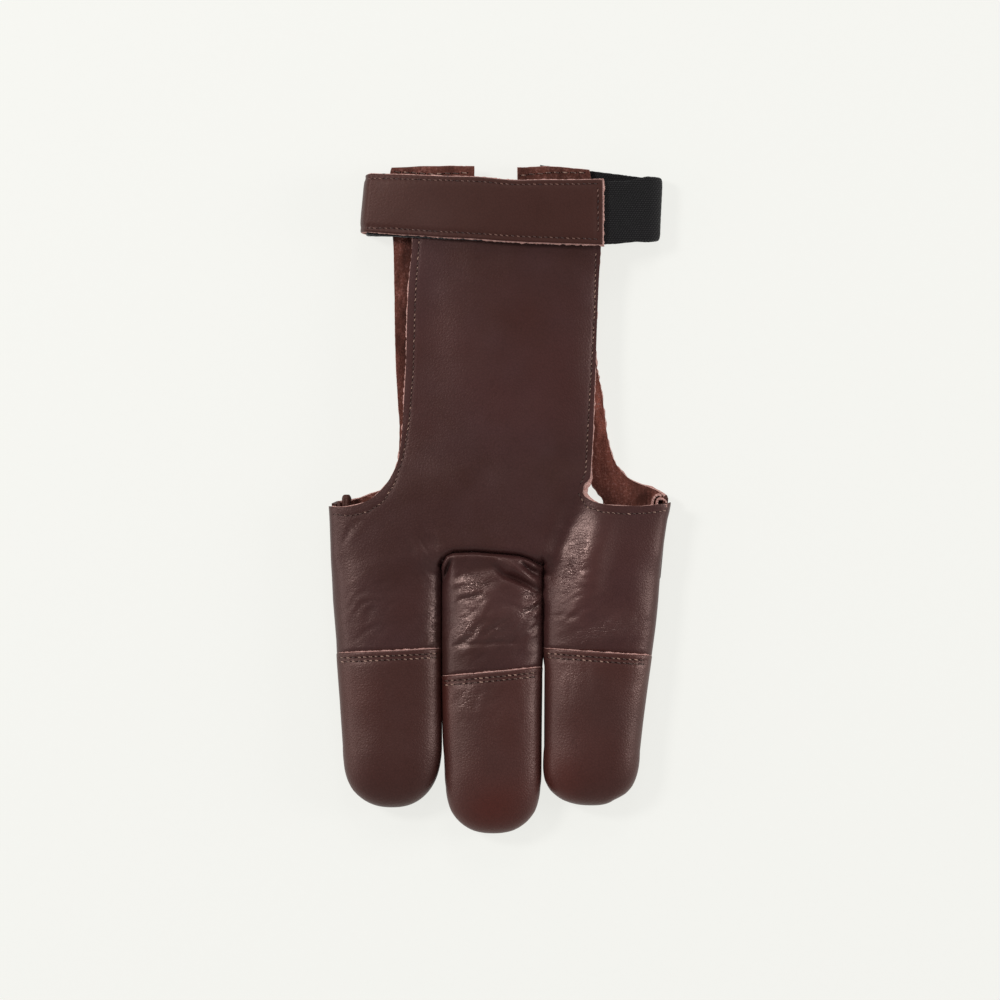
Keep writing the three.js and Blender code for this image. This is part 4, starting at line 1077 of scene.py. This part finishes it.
# The rear: three finger backs and two wrist tabs round the open palm, suede side in.
def makeRearPanel():
    count = columnCounts["rearFinger"]
    outer = crowdedShares(count)
    rows, x, along, isSeam = panelGrid(rearRows, rowSpacing["rear"], rearSeamRow, outer, outer)
    uneven = 0.0016 * unevenness(x, 0 * x, 7, 1.4) - 0.0008
    along = along + uneven * (1 - smoothStep(along, 0, 0.03))
    z = rearHeight(x, along)
    z[isSeam] = rearSeam
    columns = []
    tips = {side: alongToTip(finger, glove["crotch"], rowSpacing["rear"]) for side, finger in fingers.items()}
    tipRows = min(len(places) for places in tips.values())
    for side, finger in fingers.items():
        even = np.interp(np.linspace(0, 1, tipRows), np.linspace(0, 1, len(tips[side])), tips[side])
        places = even[1:, None]
        centre, half, shrink = fingerSection(finger, places)
        t = 2 * outer - 1 + 0 * places
        past = np.clip((places - finger["tip"] + finger["dome"]) / finger["dome"], 0, 1)
        belly = arch(past, 2 * finger["roundness"])
        fingerZ = rearSeam * (1 - belly * flatArch(t, glove["fingerFlat"]))
        fingerX = curledX(centre + half * t, t, -fingerZ, -rearSeam, shrink) + bulgeX(finger, places, t)
        grid = np.stack([fingerX, placeY(places) + 0 * t, fingerZ], -1)
        columns.append(np.concatenate([grid, tipRim(finger, places[-1, 0], outer, rearSeam)]))
    points = np.concatenate([np.stack([x, placeY(along), z], -1), np.concatenate(columns, axis=1)])
    seam = np.zeros(points.shape[:2], bool)
    seam[:len(rows)] = isSeam
    for first in (0, count, 2 * count):
        seam[len(rows):, [first, first + count - 1]] = True
    seam[-1] = True
    present = np.ones((len(points) - 1, points.shape[1] - 1), bool)
    present[:np.searchsorted(rows, palmEndRow), count - 1:2 * count] = False
    present[len(rows) - 1:, [count - 1, 2 * count - 1]] = False
    x, y = points[..., 0], points[..., 1]
    points[..., 2] += np.where(seam, 0, 0.14 * (1 + unevenness(x, y, 12, 4.4)))
    onTabs = 0.38 * smoothStep(y, 60, 90)
    onLeft = 0.75 * smoothStep(-x, 15, 25) * smoothStep(y, 12, 20)
    # The suede gets painted light and shade: paler on the right flare, darker on the tabs and beside the
    # panel's left edge.
    return makeSheet("rearPanelLeather", points, glove["leather"], False, [rearGrain, suede, cutEdge],
                     ["rear_panel"], present, seam, seam, (0.5 - onTabs) * (1 - onLeft),
                     {"suedeLightShade": patchSum(x, y, suedeLightShadeFields)})


rearPanel = makeRearPanel()


# Faces of a tube from its rings of points, one ring after another: the sides, then its two ends.
def tubeFaces(first, rings, sides, flipped=False):
    faces = []
    for k in range(rings - 1):
        for j in range(sides):
            a, b = first + k * sides + j, first + k * sides + (j + 1) % sides
            faces.append((a, a + sides, b + sides, b) if flipped else (a, b, b + sides, a + sides))
    start, end = [tuple(range(k, k + sides)) for k in (first, first + (rings - 1) * sides)]
    return faces + ([start, end[::-1]] if flipped else [start[::-1], end])


# The turned edges of the side seams, seen in the two mouths. On the left they are rolled up: middle,
# top, radius and height of each roll. On the right they curl: the strip's low and high edge, then
# places along it seen from above.
seamRolls = [(-46.05, 1.6, 1.45, 4.9), (-48.3, -0.35, 0.8, 4.8)]
rollSides = 32
seamCurls = {
    "rightSeamAllowance": [
        ["right_seam_allowance"], (0.9, 5.0),
        [(45.15, -13.8), (45.03, -9.9), (45.09, -5.7), (45.03, -2.7), (45.33, -0.15), (46.23, 1.44),
         (47.55, 2.01), (48.45, 1.5)],
    ],
    "rightMouthCurl": [
        [], (2.2, 5.3),
        [(47.1, -13.8), (46.95, -8.7), (46.65, -3.9), (46.53, -1.05), (46.95, 0.42), (48.03, 0.84),
         (49.53, 0.36), (50.43, -0.75)],
    ],
}
curlThickness = 0.85


def makeSeamRolls():
    points, faces, kinds = [], [], []
    stops = [0, 0.12, 0.3, 0.6, 1, 1.5, *np.linspace(2.2, 11, 14)]
    for x, top, radius, z in seamRolls:
        faces += tubeFaces(len(points), len(stops), rollSides, flipped=True)
        kinds += [0] * rollSides * (len(stops) - 1) + [2, 0]
        for stop in stops:
            size = radius * math.sqrt(1 - (1 - min(stop, 1.2) / 1.2) ** 2 * 0.75)
            for k in range(rollSides):
                turn = 2 * math.pi * k / rollSides
                # Each roll has a lap line along it, where the turned edge ends.
                lap = size * (1 - 0.16 * math.exp(-(((k - 9) / 1.6) ** 2)))
                spot = Vector((x + lap * math.cos(turn), top - stop, z + lap * math.sin(turn) * 0.9))
                points.append(spot + 0.09 * noise.noise_vector(spot * 0.9))
    return makePiece("leftSeamAllowance", [tuple(p) for p in points], faces, [rearGrain, suede, cutEdge],
                     kinds, None, ["left_seam_allowance"])


def makeSeamCurl(name, nodes, levels, places):
    lengths = np.concatenate([[0], np.cumsum([math.dist(a, b) for a, b in zip(places, places[1:])])])
    walked = np.linspace(0, lengths[-1], 90)
    xAt = curveThrough(lengths, [p[0] for p in places])
    yAt = curveThrough(lengths, [p[1] for p in places])
    up = np.linspace(0, 1, 12)[:, None]
    wave = 0.18 * unevenness(walked, 0 * walked, 3, 2.5)[None, :]
    lean = 0.35 * (up - 0.5) * smoothStep(walked / lengths[-1], 0.6, 1)[None, :]
    points = np.stack([xAt(walked) + lean, yAt(walked) + lean, blend(*levels, up) + wave * up], -1)
    return makeSheet(name, points, curlThickness, True, [suede, suede, cutEdge], nodes)


makeSeamRolls()
for name, look in seamCurls.items():
    makeSeamCurl(name, *look)
print("rear and seam ends made")

# The strap, the elastic and their tapes. Places across, and their top and bottom edges along.
strapLook = {
    "across": [-0.325, -0.203, -0.073, 0.049, 0.156, 0.306],
    "top": [0.013, 0.016, 0.0182, 0.023, 0.0225, 0.021],
    "bottom": [0.103, 0.108, 0.112, 0.116, 0.118, 0.12],
    "fold": {"across": -0.408, "reach": 0.02, "top": 0.012, "bottom": 0.1},
    "tail": {"across": -0.1, "top": 0.015, "bottom": 0.107},
    "lift": 3.1,
    "thickness": 1.3,
    "pitch": 1.65,
    "lean": (0.6, -0.7),
    "cut": 0.3,
}
elasticLook = {
    "across": [0.27, 0.36],
    "lean": (0.1, -0.5),
    "corner": 0.8,
    "uneven": 0.0003,
    "top": [0.024, 0.0235],
    "bottom": [0.1192, 0.1163],
    "fold": {"across": 0.4835, "reach": 0.04, "top": 0.0158, "bottom": 0.112},
    "tail": {"across": 0.19, "top": 0.0005, "bottom": 0.104},
    "lift": 1.5,
    "thickness": 1.2,
}
tapeThickness = 1.0


# A band's path round the wrist: along the top to a fold, round it and back along the bottom. Gives
# x, z, top and bottom for each step, about half a millimetre apart.
def bandPath(look, startAcross, tailAcross, step):
    fold, tail = look["fold"], look["tail"]
    side = math.copysign(1, fold["across"])
    reach = placeX(fold["reach"])
    turnX = placeX(fold["across"]) - side * reach
    startX = placeX(startAcross)
    topX = np.linspace(startX, turnX, int(abs(turnX - startX) / step) + 1)
    stops = list(look["across"]) + [fold["across"] - side * fold["reach"]]
    tops, bottoms = list(look["top"]) + [fold["top"]], list(look["bottom"]) + [fold["bottom"]]
    order = np.argsort(stops)
    stops, tops, bottoms = np.array(stops)[order], np.array(tops)[order], np.array(bottoms)[order]
    runTop, runBottom = curveThrough(stops, tops), curveThrough(stops, bottoms)
    start = wristHeight(turnX) + look["lift"]
    angles = np.linspace(0, math.pi, int(math.pi * start / 2 / step) + 1)[1:]
    endX = placeX(tailAcross)
    tailX = np.linspace(turnX, endX, int(abs(endX - turnX) / step / 1.5) + 1)[1:]
    tailShare = (tailX - turnX) / (placeX(tail["across"]) - turnX)
    x = np.concatenate([topX, turnX + side * reach * np.sin(angles), tailX])
    # The fold takes over the slope of the wrist where it starts.
    slope = (wristHeight(turnX + 0.5) - wristHeight(turnX - 0.5)) * side * reach
    turn = start / 2 * (1 + np.cos(angles)) + slope * np.sin(angles) * (1 + np.cos(angles)) / 2
    z = np.concatenate([wristHeight(topX) + look["lift"], turn, 0 * tailX])
    top, bottom = [
        np.concatenate([run(topX / glove["width"]), np.full(len(angles), fold[edge]),
                        blend(fold[edge], tail[edge], tailShare)])
        for run, edge in ((runTop, "top"), (runBottom, "bottom"))]
    return np.stack([x, z, top, bottom], 1)


# Moves a path towards the inside of its loop.
def insetPath(path, distance, side):
    run = np.gradient(path[:, :2], axis=0)
    run /= np.linalg.norm(run, axis=1)[:, None]
    moved = path.copy()
    moved[:, 0] += side * run[:, 1] * distance
    moved[:, 1] -= side * run[:, 0] * distance
    return moved


def makeBand(name, path, look, faceUp, materials, nodes, columns, relief, seed, rawShow):
    share = np.linspace(0, 1, columns)
    edges = [unevenness(path[:, :1], path[:, 1:2], 6, seed + k) for k in range(2)]
    uneven = look.get("uneven", 0.0007)
    along = blend(path[:, 2:3] + uneven * edges[0], path[:, 3:4] + uneven * edges[1], share)
    foldX = placeX(look["fold"]["across"])
    lean = blend(*look["lean"], share) - look.get("corner", 0) * np.abs(2 * share - 1) ** 14
    lean = lean * smoothStep(path[:, :1] / foldX, 0.7, 0.95)
    x, z = path[:, :1] + lean, path[:, 1:2] + 0 * share
    y = placeY(along)
    run = np.gradient(path[:, :2], axis=0)
    run /= np.linalg.norm(run, axis=1)[:, None]
    side = 1 if faceUp else -1
    outX, outZ = side * run[:, 1:], -side * run[:, :1]
    lift = relief(x, y, z, share)
    lift = np.where(path[:, 1:2] < 0.3, np.minimum(lift, 0), lift)
    points = np.stack([x + outX * lift, y, z + outZ * lift], -1)
    # A cut edge is wider at the right end and towards the right of the lower edge.
    across = points[..., 0]
    wider = smoothStep(across, 29.5, 30.5) + 0.6 * smoothStep(share, 0.9, 1) * smoothStep(across, -25, 5)
    return makeSheet(name, points, look["thickness"], faceUp, materials, nodes,
                     rawShow=rawShow + look.get("cut", 0) * wider)


# Stitch puckers inside the strap's edges, a slightly rolled rim and a gentle wave.
def strapRelief(x, y, z, share):
    upper = np.exp(-(((share * 18.8 - 1.4) / 0.7) ** 2)) + np.exp(-((((1 - share) * 18.8 - 1.8) / 0.7) ** 2))
    right = np.exp(-(((x - 29.2) / 0.7) ** 2)) * (z > 8)
    pucker = -(0.2 + 0.07 * np.sin(2 * math.pi * x / strapLook["pitch"])) * np.maximum(upper, right)
    crown = 0.35 * (1 - (2 * share - 1) ** 4)
    wave = 0.2 * unevenness(x, y, 16, 2.2) + 0.04 * unevenness(x, y, 5, 7.7)
    return pucker + crown + wave - 0.2


def elasticRelief(x, y, z, share):
    ribs = 0.015 * np.sin(2 * math.pi * (x + 0.55 * y) / 1.15)
    return ribs + 0.25 * unevenness(x, y, 11, 6.1) - 0.1


strapPath = bandPath(strapLook, 0.306, -0.1, 0.5)
strap = makeBand("wristStrapLeather", strapPath, strapLook, True, [strapLeather, suede, cutEdge],
                 ["wrist_strap"], 40, strapRelief, 1.7, 0.24)
elasticPath = bandPath(elasticLook, 0.27, 0.12, 0.4)
elastic = makeBand("wristElastic", elasticPath, elasticLook, False, [elasticMaterial] * 3,
                   ["elastic_band"], 60, elasticRelief, 3.3, 0.12)
# The tape stands out a little below the strap's left end.
liningLook = {**strapLook, "thickness": tapeThickness, "bottom": [0.1065, 0.1095, 0.112, 0.116, 0.118, 0.12]}
liningLook["fold"] = {**strapLook["fold"], "bottom": 0.1032}
liningPath = insetPath(bandPath(liningLook, 0.267, -0.108, 0.8), 1.6, -1)
lining = makeBand("strapLiningTape", liningPath, liningLook, True, [loopTape] * 3,
                  ["strap_lining"], 24, lambda x, y, z, share: 0.08 * unevenness(x, y, 0.8, 2.0), 5.5, 0.1)


# The loop patch on the left wrist tab.
def makeLoopPatch():
    box = {"left": -0.334, "right": -0.14, "top": 0.018, "bottom": 0.1, "top z": 3.9}
    x, along = np.meshgrid(np.linspace(placeX(box["left"]), placeX(box["right"]), 34),
                           np.linspace(box["top"], box["bottom"], 30))
    y = placeY(along)
    z = box["top z"] - 0.12 + 0.12 * unevenness(x, y, 0.9, 3.0)
    return makeSheet("loopPatchTape", np.stack([x, y, z], -1), 0.9, True, [loopTape] * 3,
                     ["loop_patch"], rawShow=0.1)


loopPatch = makeLoopPatch()
print("wrist bands made")


# Gives the highest point of a piece over a place in mm, with its normal.
def surfaceOf(piece):
    tree = BVHTree.FromObject(piece, bpy.context.evaluated_depsgraph_get())
    return lambda x, y: tree.ray_cast(Vector((x * 0.001, y * 0.001, 0.1)), Vector((0, 0, -1)))[:2]


# Lengths in mm; start and length are shares of a row's pitch.
stitchLook = {"radius": 0.19, "rise": 0.1, "sink": 0.15, "sides": 8, "rings": 7, "hole": 0.24, "slant": 0.3,
              "start": 0.14, "length": 0.72, "unevenStart": 0.03, "unevenSide": 0.05}
# Rings of a needle hole's dark disc of painted shade: height above the leather in mm and share of its radius.
holeRings = ((-0.1, 0.9), (0.03, 1), (0.05, 0.6))


# Stitches along rows of places in mm: each is a short thread that leaves one hole and enters the
# next, lying on the surface below it. A hole is a flat dark lens of painted shade, stretched along the stitch.
def makeStitches(name, piece, rows, material=None, size=1):
    drop = surfaceOf(piece)
    points, faces, kinds = [], [], []
    rings, sides = stitchLook["rings"], stitchLook["sides"]
    turns = [2 * math.pi * k / sides for k in range(sides)]
    for row, pitch in rows:
        ends = np.concatenate([[0], np.cumsum([math.dist(a, b) for a, b in zip(row, row[1:])])])
        for i in range(int(ends[-1] / pitch)):
            shift = random.uniform(-stitchLook["unevenStart"], stitchLook["unevenStart"])
            start = (i + stitchLook["start"] + shift) * pitch
            stops = np.linspace(start, start + stitchLook["length"] * pitch, rings)
            slide = random.uniform(-stitchLook["unevenSide"], stitchLook["unevenSide"])
            found = [drop(*(np.interp(s, ends, [p[k] for p in row]) for k in range(2))) for s in stops]
            if any(place is None for place, normal in found):
                continue
            centres = [place * 1000 for place, normal in found]
            up = sum((normal for place, normal in found), Vector()).normalized()
            run = (centres[-1] - centres[0]).normalized()
            beside = run.cross(up).normalized()
            faces += tubeFaces(len(points), rings, sides)
            for k, centre in enumerate(centres):
                bow = math.sin(math.pi * k / (rings - 1))
                radius = size * stitchLook["radius"] * (0.55 + 0.45 * bow**0.5)
                rise = (stitchLook["rise"] + stitchLook["sink"]) * bow**0.6 - stitchLook["sink"]
                middle = centre + up * rise + beside * (slide + stitchLook["slant"] * (k / (rings - 1) - 0.5))
                for turn in turns:
                    points.append(middle + (beside * math.cos(turn) + up * math.sin(turn) * 0.85) * radius)
            # Each end gets a dark disc of painted shade in its needle hole.
            for centre in (centres[0], centres[-1]):
                faces += tubeFaces(len(points), len(holeRings), sides)
                for lift, share in holeRings:
                    radius = size * stitchLook["hole"] * share
                    for turn in turns:
                        spread = run * math.cos(turn) + beside * math.sin(turn) * 0.8
                        points.append(centre + beside * slide + up * lift + spread * radius)
            kinds += [0] * (sides * (rings - 1) + 2) + [1] * 2 * (sides * (len(holeRings) - 1) + 2)
    return makePiece(name, [tuple(p) for p in points], faces, [material or threadMaterial, holeShadeMaterial],
                     kinds)


makeStitches("panelStitches", frontPanel, [(row, 1.55) for row in stitchRows.values()],
             None, 0.75)

for side, finger in fingers.items():
    rows = []
    for distance in capLook["stitchRows"]:
        row = []
        for share in np.linspace(0.02, 0.98, 24):
            along = capEdgeAt(finger, share) + distance / glove["length"]
            centre, half, shrink = fingerSection(finger, along)
            row.append((float(centre + half * (2 * share - 1)), float(placeY(along))))
        rows.append((row, capLook["pitch"]))
    makeStitches(side + "CapStitches", caps[side], rows)

strapRows = []
for edge, inset in (("top", -1.4), ("bottom", 1.8)):
    edgeAt = curveThrough(strapLook["across"], strapLook[edge])
    strapRows.append([(x, float(placeY(edgeAt(x / glove["width"]))) + inset)
                      for x in np.linspace(29.3, -40.6, 40)])
strapRows.append([(29.2, strapRows[0][0][1] - 1.2), (29.3, strapRows[1][0][1] + 1.2)])
makeStitches("strapStitches", strap, [(row, strapLook["pitch"]) for row in strapRows],
             strapThread, 0.75)

tabRows = [[(-31.95, 98.4), (-20.85, 97.8), (-9.15, 98.1)], [(5.85, 97.5), (15.15, 98.4), (26.55, 98.4)]]
makeStitches("tabStitches", rearPanel, [(row, 2.5) for row in tabRows])
print("stitches made")


# Sheets: the size each was cut to, in metres, with what it lies on.
cuts = [
    (frontPanel, (0.117, 0.147), 0.0101, "laid", ["rear_panel"]),
    (middleFinger, (0.039, 0.043), 0.00165, "laid", ["rear_panel"]),
    (caps["left"], (0.037, 0.049), 0.00165, "folded", ["front_panel"]),
    (caps["middle"], (0.037, 0.051), 0.0017, "folded", ["front_panel"]),
    (caps["right"], (0.037, 0.048), 0.0016, "folded", ["front_panel"]),
    (rearPanel, (0.104, 0.2), 0.0135, "laid", []),
    (strap, (0.113, 0.0188), None, "folded", ["front_panel"]),
    (lining, (0.108, 0.0185), None, "folded", ["front_panel"]),
    (elastic, (0.067, 0.019), None, "folded", ["front_panel"]),
    (loopPatch, (0.0196, 0.0164), None, "laid", ["rear_panel"]),
]
for piece, flat, area, held, restsOn in cuts:
    print("sheet", piece.name, "half its area", round(sum(p.area for p in piece.data.polygons) / 2, 6))


stage = {
    "floor": ("#6a6a68", "#6d6d6b"),
    "glow": "#f5f5f0",
    "air": "#fdfdff",
    "floorGlow": 0.85,
    # Soft boxes: place in m, width in m, watts.
    "lights": [((-0.85, 0.42, 0.95), 0.3, 9), ((1.1, 0.1, 0.42), 0.5, 6), ((-1.1, -0.1, 0.4), 0.5, 2),
               ((0.1, 1.1, 0.8), 0.5, 3)],
    "ceiling": 0.16,
    "walls": 0.55,
    "lens": 180,
    "level": 0.0055,
}


# The pale floor glows, so that the glove's own shadow stays faint, as in a cut-out.
def makeFloor():
    mesh = bpy.data.meshes.new("paleFloor")
    mesh.from_pydata([(-3, -3, 0), (3, -3, 0), (3, 3, 0), (-3, 3, 0)], [], [(0, 1, 2, 3)])
    material, tree, place = newMaterial("mattPaintedBoard")
    tooth = addNode(tree, "TexNoise", {"Vector": place, "Scale": perSize(3)})
    colour = addNode(tree, "Mix", {0: tooth, 6: stage["floor"][0], 7: stage["floor"][1]}, data_type="RGBA")
    shader = addNode(tree, "BsdfPrincipled", {
        "Base Color": colour, "Roughness": 0.9, "Specular IOR Level": 0,
        "Emission Color": stage["glow"], "Emission Strength": stage["floorGlow"],
    })
    addNode(tree, "OutputMaterial", {"Surface": shader})
    mesh.materials.append(material)
    floor = bpy.data.objects.new("paleFloor", mesh)
    bpy.context.collection.objects.link(floor)


# A studio with a dim ceiling and brighter walls: level leather stays deep, curved sides catch light.
def makeWorld():
    world = bpy.data.worlds.new("studio")
    bpy.context.scene.world = world
    world.use_nodes = True
    tree = world.node_tree
    tree.nodes.clear()
    direction = addNode(tree, "TexCoord").outputs["Generated"]
    parts = addNode(tree, "SeparateXYZ", {"Vector": direction})
    strength = addNode(tree, "MapRange", {"Value": parts.outputs["Z"], "From Min": 0.1, "From Max": 0.95,
                                          "To Min": stage["walls"], "To Max": stage["ceiling"]})
    light = addNode(tree, "Background", {"Color": stage["air"], "Strength": strength})
    addNode(tree, "OutputWorld", {"Surface": light})


def makeStage():
    makeFloor()
    makeWorld()
    for i, (place, size, watts) in enumerate(stage["lights"]):
        light = bpy.data.lights.new(f"softBox{i + 1}", "AREA")
        light.shape, light.size, light.energy = "DISK", size, watts
        holder = bpy.data.objects.new(light.name, light)
        holder.location = place
        holder.rotation_euler = (-Vector(place)).to_track_quat("-Z", "Y").to_euler()
        bpy.context.collection.objects.link(holder)
    camera = bpy.data.cameras.new("overheadCamera")
    camera.lens = stage["lens"]
    holder = bpy.data.objects.new("overheadCamera", camera)
    # The photograph spans 300 mm at the level of the side seams.
    holder.location = (0, 0, 0.3 * stage["lens"] / camera.sensor_width + stage["level"])
    bpy.context.collection.objects.link(holder)
    bpy.context.scene.camera = holder
    bpy.context.scene.view_settings.view_transform = "Standard"


makeStage()
print("stage made")
